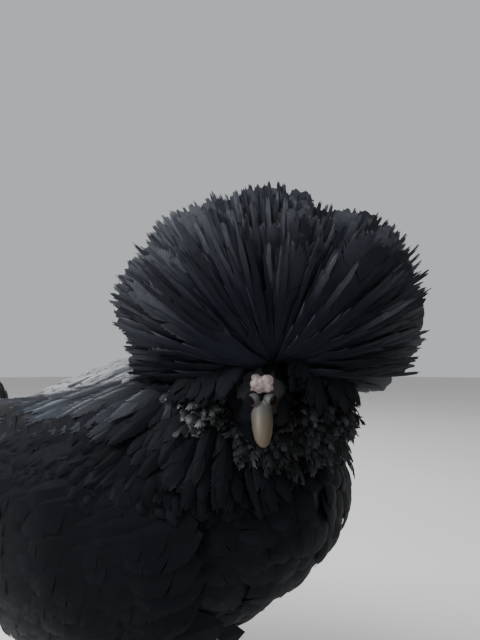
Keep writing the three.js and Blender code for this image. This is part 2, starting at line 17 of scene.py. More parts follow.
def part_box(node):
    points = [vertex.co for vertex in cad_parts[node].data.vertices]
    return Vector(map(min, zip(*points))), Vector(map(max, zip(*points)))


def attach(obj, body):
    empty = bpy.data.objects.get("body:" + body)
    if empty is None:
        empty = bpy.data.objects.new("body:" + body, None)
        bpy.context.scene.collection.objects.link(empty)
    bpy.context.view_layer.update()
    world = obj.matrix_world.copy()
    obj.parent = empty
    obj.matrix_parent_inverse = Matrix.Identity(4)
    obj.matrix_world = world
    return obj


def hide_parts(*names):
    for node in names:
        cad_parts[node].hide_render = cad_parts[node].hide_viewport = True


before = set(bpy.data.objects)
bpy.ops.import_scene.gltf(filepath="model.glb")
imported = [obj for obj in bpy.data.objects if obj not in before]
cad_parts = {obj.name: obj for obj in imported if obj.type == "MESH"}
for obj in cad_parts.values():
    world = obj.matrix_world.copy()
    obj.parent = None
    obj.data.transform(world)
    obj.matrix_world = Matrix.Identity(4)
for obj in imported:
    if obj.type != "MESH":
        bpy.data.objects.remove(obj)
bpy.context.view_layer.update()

# %% [markdown]
# ## Where things are
# The hen faces -Y and her left is +X. Her head is turned to her right and nods a little, so everything
# on it is placed in a frame of its own: left, forward, up. Such a frame could be an empty object with
# children, but here the points are wanted as numbers, to plant feathers on, so a small matrix is
# simpler. The solid model was shifted to stand over its own middle, and one known point, the left eye,
# tells by how much.

# %% Frames of the head and of the crest
DEG = math.pi / 180
LEFT, RIGHT = 1, -1
SIDES = {"left": LEFT, "right": RIGHT}
HEAD_CENTRE = (-32, -92, 229.5)
HEAD_TURN = 62 * DEG
HEAD_NOD = 20 * DEG
CREST_CENTRE = (-21, -91, 259)
CREST_NOD = 6 * DEG
EYE_PLACE = (13.6, 9, 3)
EYE_RADIUS = 5.2


def frame_of(centre, turn, nod):
    """Turn and place of a frame whose forward direction is turned to the right and nodded down."""
    c, s = math.cos(-turn), math.sin(-turn)
    yaw = np.array([[c, -s, 0], [s, c, 0], [0, 0, 1]])
    c, s = math.cos(nod), math.sin(nod)
    pitch = np.array([[1, 0, 0], [0, c, -s], [0, s, c]])
    return yaw @ pitch, np.array(centre, float)


HEAD_FRAME = frame_of(HEAD_CENTRE, HEAD_TURN, HEAD_NOD)
CREST_FRAME = frame_of(CREST_CENTRE, HEAD_TURN, CREST_NOD)


def placed(frame_pair, local):
    """Points given as left, forward, up in a frame, as points of the bird."""
    turn, centre = frame_pair
    flipped = np.asarray(local, float) * (1, -1, 1)
    return flipped @ turn.T + centre


def aimed(frame_pair, local):
    """The same for directions."""
    flipped = np.asarray(local, float) * (1, -1, 1)
    return flipped @ frame_pair[0].T


def unit(v):
    """Directions of length 1."""
    v = np.asarray(v, float)
    return v / np.maximum(np.linalg.norm(v, axis=-1, keepdims=True), 1e-9)


eye_low, eye_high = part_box("eye_left")
MM = 0.001
SHIFT = np.array((eye_low + eye_high) / 2) / MM - placed(HEAD_FRAME, EYE_PLACE)
print("shift of the solid model, mm", SHIFT.round(2))

# %% [markdown]
# ## Camera, floor and light
# The photo was taken from close by, low, at the height of the hen's head and a little upwards, so the
# head looms and the body falls away behind it. A short lens close to the subject gives that, and moving
# the camera back with a long lens would not. The floor is a wide pale disc, the world a pale grey, and
# three large soft lamps stand round her, the strongest high and behind on her right. Black feathers only
# show what they mirror, so big lamps matter more here than strong ones.

# %% Camera at the photo's place
IMAGE_HEIGHT = 640
FOCAL_PIXELS = 481
SENSOR = 36
NEAREST_SEEN = 0.005
CAMERA_PLACE = (-224.6, -185, 236.1)
CAMERA_AZIMUTH = -62 * DEG
CAMERA_PITCH = 5 * DEG

camera = bpy.data.objects.new("camera", bpy.data.cameras.new("camera"))
camera.data.sensor_fit = "VERTICAL"
camera.data.sensor_height = SENSOR
camera.data.lens = SENSOR * FOCAL_PIXELS / IMAGE_HEIGHT
camera.data.clip_start = NEAREST_SEEN
camera.location = (np.array(CAMERA_PLACE) + SHIFT) * MM
camera.rotation_euler = (math.pi / 2 + CAMERA_PITCH, 0, CAMERA_AZIMUTH)
bpy.context.scene.collection.objects.link(camera)
bpy.context.scene.camera = camera
print("camera at", [round(v, 3) for v in camera.location], "lens", round(camera.data.lens, 1))

# %% Floor
FLOOR_RADIUS = 8.0
FLOOR_SIDES = 96


def floor_disc():
    """A round floor with many sides, flat at height 0."""
    mesh = bpy.data.meshes.new("floor")
    turns = [2 * math.pi * i / FLOOR_SIDES for i in range(FLOOR_SIDES)]
    rim = [(FLOOR_RADIUS * math.cos(a), FLOOR_RADIUS * math.sin(a), 0) for a in turns]
    mesh.from_pydata(rim, [], [range(FLOOR_SIDES)])
    made = bpy.data.objects.new("floor", mesh)
    bpy.context.scene.collection.objects.link(made)
    return made


floor = floor_disc()
print("floor, metres across", FLOOR_RADIUS * 2)

# %% Lamps and world
BODY_MIDDLE = (0, 0, 0.18)
LAMPS = {
    "key": dict(place=(-1.1, 0.6, 1.5), size=1.0, watts=60, colour=(0.93, 0.97, 1.0)),
    "front": dict(place=(-1.3, -1.5, 0.9), size=1.3, watts=7, colour=(1.0, 0.97, 0.93)),
    "rim": dict(place=(0.6, 1.5, 1.2), size=0.9, watts=24, colour=(0.95, 0.98, 1.0)),
}
WORLD_COLOUR = (0.86, 0.88, 0.9, 1)
WORLD_STRENGTH = 0.6


def lamp(name, place, size, watts, colour):
    """A round soft lamp that is turned towards the middle of the body."""
    data = bpy.data.lights.new(name, "AREA")
    data.shape = "DISK"
    data.size = size
    data.energy = watts
    data.color = colour
    made = bpy.data.objects.new(name, data)
    made.location = place
    aim = Vector(BODY_MIDDLE) - Vector(place)
    made.rotation_euler = aim.to_track_quat("-Z", "Y").to_euler()
    bpy.context.scene.collection.objects.link(made)
    return made


def pale_world():
    """Plain grey light from every side."""
    world = bpy.data.worlds.new("studio")
    world.use_nodes = True
    background = world.node_tree.nodes["Background"]
    background.inputs["Color"].default_value = WORLD_COLOUR
    background.inputs["Strength"].default_value = WORLD_STRENGTH
    return world


for name, look in LAMPS.items():
    lamp(name, **look)
bpy.context.scene.world = pale_world()
print("lamps", len(bpy.data.lights))

# %% [markdown]
# ## Shader sums as Python
# A finish is a small network of nodes. Wiring each node by hand hides the idea, so one class wraps a
# socket: adding or multiplying it adds the Math node and gives back the new socket. Colours go through
# Mix nodes, because a Math node would turn them grey. Everything else is one call with the node's type,
# its settings and what feeds its sockets.

# %% A socket in sums
class Wire:
    """A socket that takes part in Python sums."""

    def __init__(self, finish, socket):
        self.finish = finish
        self.socket = socket

    def _sum(self, operation, first, second):
        return self.finish.node("Math", {"operation": operation}, {0: first, 1: second})

    def __add__(self, other):
        return self._sum("ADD", self, other)

    def __mul__(self, other):
        return self._sum("MULTIPLY", self, other)

    __radd__ = __add__
    __rmul__ = __mul__

    def sine(self):
        return self.finish.node("Math", {"operation": "SINE"}, {0: self})

    def between(self, low, high):
        """0 below the first value, 1 above the second, smooth in between."""
        settings = {"interpolation_type": "SMOOTHSTEP"}
        return self.finish.node("MapRange", settings, {"Value": self, "From Min": low, "From Max": high})


print("a socket can be added, multiplied, put through a sine and stepped")

# %% The finish class
class Finish:
    """A material with one shader, and short ways to add nodes in front of it."""

    def __init__(self, name, **constants):
        self.material = bpy.data.materials.new(name)
        self.material.use_nodes = True
        self.tree = self.material.node_tree
        self.shader = self.tree.nodes["Principled BSDF"]
        for key, value in constants.items():
            self.shader.inputs[key.replace("_", " ").title().replace("Ior", "IOR")].default_value = value

    def node(self, kind, settings, sockets, output=0):
        made = self.tree.nodes.new("ShaderNode" + kind)
        for key, value in settings.items():
            setattr(made, key, value)
        for key, value in sockets.items():
            self.feed(made.inputs[key], value)
        return Wire(self, made.outputs[output])

    def feed(self, socket, value):
        if isinstance(value, Wire):
            self.tree.links.new(value.socket, socket)
        elif isinstance(value, tuple) and len(value) == 3 and len(socket.default_value) == 4:
            socket.default_value = (*value, 1)
        else:
            socket.default_value = value

    def mix(self, factor, first, second):
        """A colour between two colours."""
        settings = {"data_type": "RGBA"}
        return self.node("Mix", settings, {0: factor, 6: first, 7: second}, output=2)

    def attribute(self, name):
        return self.node("Attribute", {"attribute_name": name}, {}, "Fac")

    def noise(self, scale, detail, stretch=None):
        where = self.node("TexCoord", {}, {}, "Object")
        if stretch:
            where = self.node("Mapping", {}, {"Vector": where, "Scale": stretch})
        return self.node("TexNoise", {}, {"Vector": where, "Scale": scale, "Detail": detail}, "Fac")

    def share(self, start, way, length):
        """How far each point lies along a way from a place of the bird, as a share of a length."""
        where = self.node("TexCoord", {}, {}, "Object")
        origin = tuple(((start + SHIFT) * MM).tolist())
        offset = self.node("VectorMath", {"operation": "SUBTRACT"}, {0: where, 1: origin})
        scaled = tuple((unit(way) / (length * MM)).tolist())
        return self.node("VectorMath", {"operation": "DOT_PRODUCT"}, {0: offset, 1: scaled}, "Value")

    def set(self, **values):
        for key, value in values.items():
            self.feed(self.shader.inputs[key.replace("_", " ").title()], value)

    def bump(self, height, strength, distance):
        """Bends the light over a height, and gives the finished material."""
        sockets = {"Height": height, "Strength": strength, "Distance": distance}
        self.feed(self.shader.inputs["Normal"], self.node("Bump", {}, sockets))
        return self.material


print("shader classes ready")

# %% [markdown]
# ## Plumage finishes
# A black feather isn't flat black. Its barbs are fine parallel ridges with a soft sheen, light makes its
# tips and rim look paler, and light catches a cold film on it. A picture could hold all that, but a
# feather knows its own directions: each vertex keeps how far along, how far across and on which barb it
# lies. The shader draws the ridges, the film, a painted highlight on the tips and the rim, and a painted
# bluish sheen, from those numbers. A tint for each feather keeps neighbours apart.

# %% Black plumage in its variants
BARB_LINES = 130
HIGHLIGHT_TIP_REACH = (0.66, 1.04)
HIGHLIGHT_RIM_REACH = (0.75, 1.15)
FILM_REACH = (0.1, 0.7)
PATCH_SCALE, STREAK_SCALE = 28, 420


def plumage(name, deep, sheen, edge, gloss, film, highlight_share=0.5, mirror=0.12):
    """Feather finish: a black, a painted sheen, the painted highlight of tips and rim, roughness,
    cold film, share of that highlight, mirror.
    """
    finish = Finish(name, specular_ior_level=mirror)
    along = finish.attribute("along")
    rim = finish.attribute("rim")
    tint = finish.attribute("tint")
    barb = finish.attribute("barb")
    patch = finish.noise(PATCH_SCALE, 2)
    streak = finish.noise(STREAK_SCALE, 2)
    # The second, bluish black is a painted sheen, mixed in by feather and by patch.
    black = finish.mix(tint * 0.6 + patch * 0.4, deep, sheen)
    # Tips and rims of each feather take the edge colour: a painted highlight.
    outer = (along.between(*HIGHLIGHT_TIP_REACH) + rim.between(*HIGHLIGHT_RIM_REACH)) * (0.25 + streak)
    outer = outer * (0.15 + tint * tint * 1.5)
    finish.set(base_color=finish.mix(outer * highlight_share, black, edge))
    finish.set(roughness=gloss + streak * 0.16 + tint * 0.08)
    finish.set(metallic=along.between(*FILM_REACH) * (0.3 + tint * 0.7) * film)
    lines = (barb * (BARB_LINES * 2 * math.pi)).sine()
    return finish.bump(lines * 0.3 + streak, 0.3, 0.0002)


# In each row sheen is a painted bluish sheen and edge the painted highlight of tips and rims, palest on
# the crest.
PLUMAGE = {
    "crest_black": dict(deep=(0.002, 0.0022, 0.004), sheen=(0.007, 0.0082, 0.015),
                        edge=(0.085, 0.09, 0.102), gloss=0.42, film=0.3, mirror=0.09),
    "body_black": dict(deep=(0.0018, 0.002, 0.003), sheen=(0.004, 0.0045, 0.007),
                       edge=(0.009, 0.010, 0.013), gloss=0.46, film=0.3, mirror=0.07),
    "cape_black": dict(deep=(0.003, 0.0035, 0.005), sheen=(0.012, 0.0138, 0.019),
                       edge=(0.034, 0.038, 0.047), gloss=0.3, film=0.45),
    "wing_black": dict(deep=(0.003, 0.003, 0.0035), sheen=(0.009, 0.0088, 0.0095),
                       edge=(0.02, 0.02, 0.022), gloss=0.44, film=0.2, mirror=0.07),
    "muff_black": dict(deep=(0.003, 0.0033, 0.004), sheen=(0.008, 0.0085, 0.01),
                       edge=(0.05, 0.052, 0.056), gloss=0.5, film=0.1, highlight_share=0.6),
    # The right muff's copy: its tips painted much paler, a painted highlight for the lit side.
    "muff_painted_highlight": dict(deep=(0.003, 0.0033, 0.004), sheen=(0.008, 0.0085, 0.01),
                      edge=(0.17, 0.175, 0.18), gloss=0.5, film=0.1, highlight_share=0.8),
    "fluff_grey": dict(deep=(0.005, 0.006, 0.008), sheen=(0.014, 0.016, 0.022),
                       edge=(0.035, 0.037, 0.042), gloss=0.6, film=0.0, highlight_share=0.8),
}
PLUMES = {name: plumage(name, **look) for name, look in PLUMAGE.items()}
print("plumage finishes", sorted(PLUMES))

# %% [markdown]
# ## The body under the feathers
# Under its coat a bird is a smooth egg with a neck. The forms are runs of rings, as a boat is lofted
# over its frames, from the same sizes as the solids but smaller by the depth of the coat. Joined they
# would show seams, so they are remeshed into one surface: that loses sharp detail, and a skin has none.

# %% Torso
TORSO = [
    (-120, 9, 194, 174),
    (-114, 30, 202, 155),
    (-98, 50, 210, 133),
    (-72, 65, 221, 112),
    (-40, 73, 231, 97),
    (0, 75, 230, 90),
    (40, 70, 225, 93),
    (80, 57, 216, 106),
    (115, 41, 208, 128),
    (143, 25, 202, 156),
    (151, 10, 194, 168),
]
TORSO_MIDDLE = 0.52


def smooth_rows(table, keys):
    """Values of a table of rows [key, ...values], read smoothly at many keys."""
    rows = np.asarray(table, float)
    keys = np.clip(np.asarray(keys, float), rows[0, 0], rows[-1, 0])
    i = np.clip(np.searchsorted(rows[:, 0], keys, side="right") - 1, 0, len(rows) - 2)
    a, b = rows[i], rows[i + 1]
    before = rows[np.maximum(i - 1, 0)]
    after = rows[np.minimum(i + 2, len(rows) - 1)]
    span = b[..., :1] - a[..., :1]
    t = (keys[..., None] - a[..., :1]) / span
    m0 = (b - before) / np.maximum(b[..., :1] - before[..., :1], 1e-6) * span
    m1 = (after - a) / np.maximum(after[..., :1] - a[..., :1], 1e-6) * span
    value = (2 * t**3 - 3 * t**2 + 1) * a + (t**3 - 2 * t**2 + t) * m0
    value += (3 * t**2 - 2 * t**3) * b + (t**3 - t**2) * m1
    return value[..., 1:]


def torso_point(y, around, lift=0.0):
    """Points of the torso: around is 0 at the back and half a turn at the belly."""
    y, around, lift = np.broadcast_arrays(np.asarray(y, float), around, lift)
    half, top, bottom = np.moveaxis(smooth_rows(TORSO, y), -1, 0)
    middle = bottom + (top - bottom) * TORSO_MIDDLE
    rise = np.where(np.cos(around) > 0, top - middle, middle - bottom)
    x = np.maximum(half + lift, 1) * np.sin(around)
    return np.stack([x, y, middle + np.maximum(rise + lift, 1) * np.cos(around)], -1)


print("torso half width at the middle", torso_point(0, math.pi / 2).round(1))

# %% Lofts and balls
POLE = 0.04


def turns_of(sides):
    """Angles spread evenly round a full turn."""
    return np.arange(sides) / sides * 2 * math.pi


def tube_faces(rings, sides):
    """Quads between rings of points, and one face at each end."""
    faces = []
    for r in range(rings - 1):
        for s in range(sides):
            a = r * sides + s
            b = r * sides + (s + 1) % sides
            faces.append((a, b, b + sides, a + sides))
    faces.append(tuple(range(sides))[::-1])
    faces.append(tuple(range((rings - 1) * sides, rings * sides)))
    return faces


def new_mesh(name, points, faces):
    """A mesh object from points in bird millimetres."""
    mesh = bpy.data.meshes.new(name)
    mesh.from_pydata(((np.asarray(points, float) + SHIFT) * MM).tolist(), [], faces)
    mesh.shade_smooth()
    made = bpy.data.objects.new(name, mesh)
    bpy.context.scene.collection.objects.link(made)
    return made


def loft(name, rings):
    """A closed tube through rings of equal numbers of points."""
    rings = np.asarray(rings, float)
    return new_mesh(name, rings.reshape(-1, 3), tube_faces(rings.shape[0], rings.shape[1]))


def ball(name, frame_pair, centre, half, sides=24, rings=14):
    """An ellipsoid given in a frame as left, forward, up. Its rings stop just short of its poles."""
    turn = turns_of(sides)
    made = []
    for tilt in np.linspace(POLE, math.pi - POLE, rings):
        wide = np.sin(tilt)
        ring = np.stack([wide * np.cos(turn), wide * np.sin(turn), np.full(sides, np.cos(tilt))], -1)
        made.append(placed(frame_pair, ring * half + centre))
    return loft(name, made)


print("a tube of 3 rings of 8 points has", len(tube_faces(3, 8)), "faces")

# %% Neck, head and thighs
NECK_LINE = np.array([(2, -38, 186), (-3, -60, 212), (-14, -78, 226), (-26, -88, 231)], float)
NECK_HALF = (46, 40, 28, 20)
HEAD = [
    (-27, 7, 9, 7),
    (-23, 14, 15, 13),
    (-12, 18.5, 19.5, 18),
    (0, 18.5, 19.5, 18),
    (12, 15.5, 16, 15),
    (21, 11, 10.5, 10.5),
    (27, 7.6, 6.4, 7.2),
]
HIP = np.array((40, -14, 130), float)
HOCK = np.array((43, 6, 82), float)
ANKLE = np.array((45, -7, 14), float)
THIGH = [(0, 28, 34), (0.25, 26, 29), (0.5, 22, 24), (0.75, 15.5, 17), (0.92, 10, 11), (1.04, 7.5, 8.5)]


def neck_centre(t):
    """A smooth line through the four places of the neck, and its direction."""
    t = np.asarray(t, float)
    knots = np.linspace(0, 1, len(NECK_LINE))
    point, slope = 0, 0
    for i, place in enumerate(NECK_LINE):
        others = [k for n, k in enumerate(knots) if n != i]
        base = math.prod(knots[i] - k for k in others)
        value = (t - others[0]) * (t - others[1]) * (t - others[2]) / base
        rate = (t - others[1]) * (t - others[2]) + (t - others[0]) * (t - others[2])
        rate = (rate + (t - others[0]) * (t - others[1])) / base
        point = point + value[..., None] * place
        slope = slope + rate[..., None] * place
    return point, unit(slope)


def neck_point(t, around, grow):
    """Points of the neck: around is 0 at its back and half a turn at the throat."""
    t, around = np.broadcast_arrays(np.asarray(t, float), np.asarray(around, float))
    centre, way = neck_centre(t)
    front = unit(np.cross([1, 0, 0], way))
    side = unit(np.cross(way, front))
    half = np.interp(t, np.linspace(0, 1, len(NECK_HALF)), NECK_HALF) + grow
    return centre + side * (half * np.sin(around))[..., None] - front * (half * np.cos(around))[..., None]


RING_SIDES = 28


def skull_ring(forward, grow):
    """A ring round the skull at a place from its back (below 0) to its front."""
    half, up, down = smooth_rows(HEAD, [forward])[0]
    turn = turns_of(RING_SIDES)
    rise = np.where(np.cos(turn) > 0, up, down) + grow
    ring = [(half + grow) * np.sin(turn), np.full(RING_SIDES, forward), rise * np.cos(turn)]
    return placed(HEAD_FRAME, np.stack(ring, -1))


def thigh_ring(side, t, grow):
    """A level ring round the leg, at a share of the way from the hip to the hock."""
    across, along = smooth_rows(THIGH, [t])[0]
    centre = HIP + (HOCK - HIP) * t
    turn = turns_of(RING_SIDES)
    ring = [(across + grow) * np.sin(turn), (along + grow) * np.cos(turn), np.zeros(RING_SIDES)]
    return (np.stack(ring, -1) + centre) * (side, 1, 1)


print("neck runs from", neck_centre(0.0)[0].round(0), "to", neck_centre(1.0)[0].round(0))

# %% One skin over all of them
SKIN_VOXEL = 0.0019
COAT_DEPTH = dict(torso=7.0, neck=6, skull=0.4, thigh=4, knee=0.6)
CREST_KNOB_BALL = dict(centre=(0, 8, -16), half=(19, 17, 15))
THIGH_END, KNEE_START, KNEE_END = 0.93, 0.8, 1.04


def join_as(name, parts):
    """Joins meshes into the first of them, and names it."""
    with bpy.context.temp_override(active_object=parts[0], selected_editable_objects=parts):
        bpy.ops.object.join()
    parts[0].name = name
    parts[0].data.name = name
    return parts[0]


def remeshed(piece, voxel, smoothing):
    """Fuses all the shells of a piece into one surface, and evens it out."""
    fuse = piece.modifiers.new("fuse", "REMESH")
    fuse.mode = "VOXEL"
    fuse.voxel_size = voxel
    fuse.use_smooth_shade = True
    even = piece.modifiers.new("even", "SMOOTH")
    even.factor = 0.5
    even.iterations = smoothing
    evaluated = piece.evaluated_get(bpy.context.evaluated_depsgraph_get())
    mesh = bpy.data.meshes.new_from_object(evaluated)
    piece.modifiers.clear()
    old = piece.data
    piece.data = mesh
    bpy.data.meshes.remove(old)
    mesh.name = piece.name
    return piece


def make_skin():
    """All the flesh as one surface, each form inside its solid by the depth of the coat there."""
    depth = COAT_DEPTH
    span = (1 - np.cos(np.linspace(0, math.pi, 40))) / 2
    torso_keys = TORSO[0][0] + 6 + (TORSO[-1][0] - TORSO[0][0] - 9) * span
    parts = [loft("torso_form", [torso_point(y, turns_of(40), -depth["torso"]) for y in torso_keys])]
    necks = [neck_point(t, turns_of(32), -depth["neck"]) for t in np.linspace(0, 1, 14)]
    parts.append(loft("neck_form", necks))
    forwards = np.linspace(HEAD[0][0], HEAD[-1][0], 24)
    parts.append(loft("skull_form", [skull_ring(f, -depth["skull"]) for f in forwards]))
    parts.append(ball("knob_form", CREST_FRAME, **CREST_KNOB_BALL))
    for side in SIDES.values():
        thighs = [thigh_ring(side, t, -depth["thigh"]) for t in np.linspace(0, THIGH_END, 14)]
        parts.append(loft("thigh_form", thighs))
        knees = [thigh_ring(side, t, -depth["knee"]) for t in np.linspace(KNEE_START, KNEE_END, 8)]
        parts.append(loft("knee_form", knees))
    whole = join_as("skin", parts)
    return remeshed(whole, SKIN_VOXEL, 4)


skin = make_skin()
print("skin faces", len(skin.data.polygons))

# %% Unwrap of the skin
FLAT_MAP = "OFBake"


def unwrap(piece):
    """Lays the surface out flat, so that each place has one address."""
    piece.data.uv_layers.new(name=FLAT_MAP)
    bpy.context.view_layer.objects.active = piece
    for other in bpy.context.selected_objects:
        other.select_set(False)
    piece.select_set(True)
    bpy.ops.object.mode_set(mode="EDIT")
    bpy.ops.mesh.select_all(action="SELECT")
    bpy.ops.uv.smart_project(angle_limit=66 * DEG, island_margin=0.002)
    bpy.ops.object.mode_set(mode="OBJECT")
    piece.select_set(False)
    return piece


unwrap(skin)
print("flat maps of the skin", [layer.name for layer in skin.data.uv_layers])

# %% Ground to plant in
TRIES = 5


class Ground:
    """The skin as the ground that feathers are planted in: nearest places, directions and addresses."""

    def __init__(self, piece):
        mesh = piece.data
        mesh.calc_loop_triangles()
        count = len(mesh.vertices)
        points = np.empty(count * 3)
        mesh.vertices.foreach_get("co", points)
        self.points = points.reshape(-1, 3) / MM - SHIFT
        normals = np.empty(count * 3)
        mesh.vertices.foreach_get("normal", normals)
        self.normals = normals.reshape(-1, 3)
        triangles = np.empty(len(mesh.loop_triangles) * 3, int)
        mesh.loop_triangles.foreach_get("vertices", triangles)
        self.triangles = triangles.reshape(-1, 3)
        loops = np.empty(len(mesh.loop_triangles) * 3, int)
        mesh.loop_triangles.foreach_get("loops", loops)
        flat = np.empty(len(mesh.loops) * 2)
        mesh.uv_layers[FLAT_MAP].data.foreach_get("uv", flat)
        self.flat = flat.reshape(-1, 2)[loops].reshape(-1, 3, 2).mean(1)
        first, second, third = np.moveaxis(self.points[self.triangles], 1, 0)
        self.areas = np.linalg.norm(np.cross(second - first, third - first), axis=1) / 2
        self.tree = BVHTree.FromPolygons(self.points.tolist(), self.triangles.tolist())

    def nearest(self, points):
        """For each point: the nearest place on the skin, the outward direction there and its address."""
        places, ways, flats = [], [], []
        for point in np.asarray(points, float).reshape(-1, 3):
            place, _, index, _ = self.tree.find_nearest(Vector(point))
            corner = self.triangles[index]
            places.append(place)
            ways.append(self.normals[corner].mean(0))
            flats.append(self.flat[index])
        return np.array(places), unit(ways), np.array(flats)

    def scatter(self, spacing, rng, keep):
        """Even places over the skin where keep(points) is true, no two nearer than spacing."""
        whole = self.areas.sum()
        chosen = rng.choice(len(self.areas), int(whole / spacing**2 * TRIES), p=self.areas / whole)
        weights = rng.dirichlet((1, 1, 1), len(chosen))
        points = (self.points[self.triangles[chosen]] * weights[..., None]).sum(1)
        points = points[keep(points)]
        cells, kept = {}, []
        for i, point in enumerate(points):
            cell = tuple((point // spacing).astype(int))
            near = (n for d in np.ndindex(3, 3, 3) for n in cells.get(tuple(np.add(cell, d) - 1), ()))
            if all(((points[n] - point) ** 2).sum() > spacing**2 for n in near):
                cells.setdefault(cell, []).append(i)
                kept.append(i)
        return points[kept]


ground = Ground(skin)
print("skin area, square cm", round(ground.areas.sum() / 100))

# %% [markdown]
# ## A feather
# A feather is a shaft with two vanes of barbs that lean towards its tip. It could be a flat card with a
# cut-out picture, but a card's edge is always smooth or always cut, and a real vane is whole near its
# shaft, splits here and there, and ends in a fringe. So each vane here is a row of panels. Inside a
# panel the barbs share their edges, at the rim every barb ends in a point of its own, and where a panel
# is pinched a split opens. The shaft is a curve through root, bend and tip, and all feathers of a batch
# are worked out at once as arrays, which is what makes thousands of them quick.

# %% Styles of feather
CONTOUR_OUTLINE = ((0, 0.2, 0.5, 0.75, 0.9, 0.97, 1), (0.5, 0.8, 1, 0.97, 0.74, 0.42, 0.12))
HACKLE_OUTLINE = ((0, 0.25, 0.55, 0.8, 0.93, 1), (0.5, 0.9, 1, 0.78, 0.45, 0.1))
CREST_OUTLINE = ((0, 0.3, 0.6, 0.82, 0.93, 0.98, 1), (0.25, 0.5, 0.9, 1, 0.74, 0.4, 0.12))
FLIGHT_OUTLINE = ((0, 0.12, 0.5, 0.85, 0.94, 1), (0.5, 0.9, 1, 0.95, 0.66, 0.15))
STYLES = {
    "crest": dict(panels=5, barbs=8, start=0.1, lean=0.16, outline=CREST_OUTLINE,
                  camber=0.3, pinch=0.5, fringe=0.2, fluff=0.05, shaft=0.25),
    "wisp": dict(panels=3, barbs=2, start=0.12, lean=0.2, outline=HACKLE_OUTLINE,
                 camber=0.3, pinch=0.9, fringe=0.5, fluff=0.12, shaft=0.0),
    "contour": dict(panels=3, barbs=5, start=0.15, lean=0.2, outline=CONTOUR_OUTLINE,
                    camber=0.22, pinch=0.4, fringe=0.14, fluff=0.03, shaft=0.0),
    "hackle": dict(panels=4, barbs=5, start=0.1, lean=0.16, outline=HACKLE_OUTLINE,
                   camber=0.28, pinch=0.5, fringe=0.16, fluff=0.03, shaft=0.3),
    "flight": dict(panels=6, barbs=8, start=0.04, lean=0.14, outline=FLIGHT_OUTLINE,
                   camber=0.14, pinch=0.12, fringe=0.04, fluff=0.0, shaft=0.8),
    "downy": dict(panels=4, barbs=3, start=0.05, lean=0.22, outline=CONTOUR_OUTLINE,
                  camber=0.15, pinch=1.2, fringe=0.7, fluff=0.2, shaft=0.0),
    "curl": dict(panels=4, barbs=2, start=0.1, lean=0.2, outline=HACKLE_OUTLINE,
                 camber=0.4, pinch=1.2, fringe=1.1, fluff=0.2, shaft=0.0),
}
print("feather styles", sorted(STYLES))

# %% The curve of a feather
def bent(root, bend, tip, s):
    """Place and direction on the curve through root, bend and tip."""
    r, b, t = (v[:, None, :] for v in (root, bend, tip))
    s = s[..., None]
    place = (1 - s) ** 2 * r + 2 * s * (1 - s) * b + s**2 * t
    return place, unit(2 * (1 - s) * (b - r) + 2 * s * (t - b))


def on_vane(plan, s, x, h):
    """Points of a vane from how far along, how far across and how high above its middle."""
    n = len(plan["root"])
    place, way = bent(plan["root"], plan["bend"], plan["tip"], s.reshape(n, -1))
    out = np.broadcast_to(plan["out"][:, None, :], way.shape)
    across = unit(np.cross(out, way))
    up = np.cross(way, across)
    return place + across * x.reshape(n, -1, 1) + up * h.reshape(n, -1, 1)


middle_of_bend, _ = bent(*np.eye(3)[:, None, :], np.array([[0.5]]))
print("halfway along, root, bend and tip weigh", middle_of_bend.ravel())

# %% The panels of a vane
LAST_BARB = 0.96
STATIONS = np.array([0.0, 0.5, 0.88])
WIDEST_SPLIT = 0.8
BARB_CROWDING = 0.9
BARB_CURVE = 1.2
RIM_ROUNDING = 0.85
SWAY, UNEVEN_WIDTH, PANEL_TWIST = 0.012, 0.04, 0.05


def barb_corner(row, shut, stop, wide, bulk, turn, q, camber):
    """A split opens only near the rim, so further in the barbs end where they would with no split."""
    x = wide * q**RIM_ROUNDING
    stop = shut + (stop - shut) * np.minimum(q, 1) ** 4
    return row + (stop - row) * q**BARB_CURVE, x, turn * bulk * q**2 - camber * x**2 / bulk


def vane_layout(plan, style, rng):
    """Along, across, height and barb number of every corner, by feather, side and panel."""
    n, panels, barbs = len(plan["root"]), style["panels"], style["barbs"]
    start, lean, camber = style["start"], style["lean"], style["camber"]
    half = plan["half"][:, None, None, None]
    one_each = (n, 2, panels, 1)
    span = (LAST_BARB - start) / panels
    rows = start + span * (np.arange(panels)[:, None] + np.arange(barbs + 1) / barbs)
    rows = rows + np.zeros((n, 2, 1, 1))
    middle = rows.mean(-1, keepdims=True)
    pinch = np.clip(style["pinch"] * rng.random(one_each) ** 2, 0, WIDEST_SPLIT)
    rim = middle + (rows - middle) * (1 - pinch)
    sway = rng.normal(0, SWAY, one_each)
    crowded = (((v - start) / (LAST_BARB - start)) ** BARB_CROWDING for v in (rows, rim))
    whole, end = (start + lean + (1 - start - lean) * v for v in crowded)
    end = end + sway
    width = half * np.interp(end, *style["outline"]) * (1 + rng.normal(0, UNEVEN_WIDTH, one_each))
    twist = rng.normal(0, PANEL_TWIST, one_each)
    grid = (v[..., None] for v in (rows, whole, end, width, half, twist))
    inner = [v.reshape(n, 2, panels, -1) for v in barb_corner(*grid, STATIONS, camber)]
    pairs = [(v[..., 1:] + v[..., :-1]) / 2 for v in (rows, whole, end, width)]
    reach = 1 + style["fringe"] * rng.random((n, 2, panels, barbs))
    outer = list(barb_corner(*pairs, half, twist, reach, camber))
    outer[2] = outer[2] + rng.normal(0, style["fluff"], outer[2].shape) * half
    s, x, h = (np.concatenate([a, b], -1) for a, b in zip(inner, outer))
    number = np.concatenate([np.repeat(rows, len(STATIONS), -1), pairs[0]], -1)
    side = np.array([-1.0, 1.0])[:, None, None]
    return s, x * side, h, number


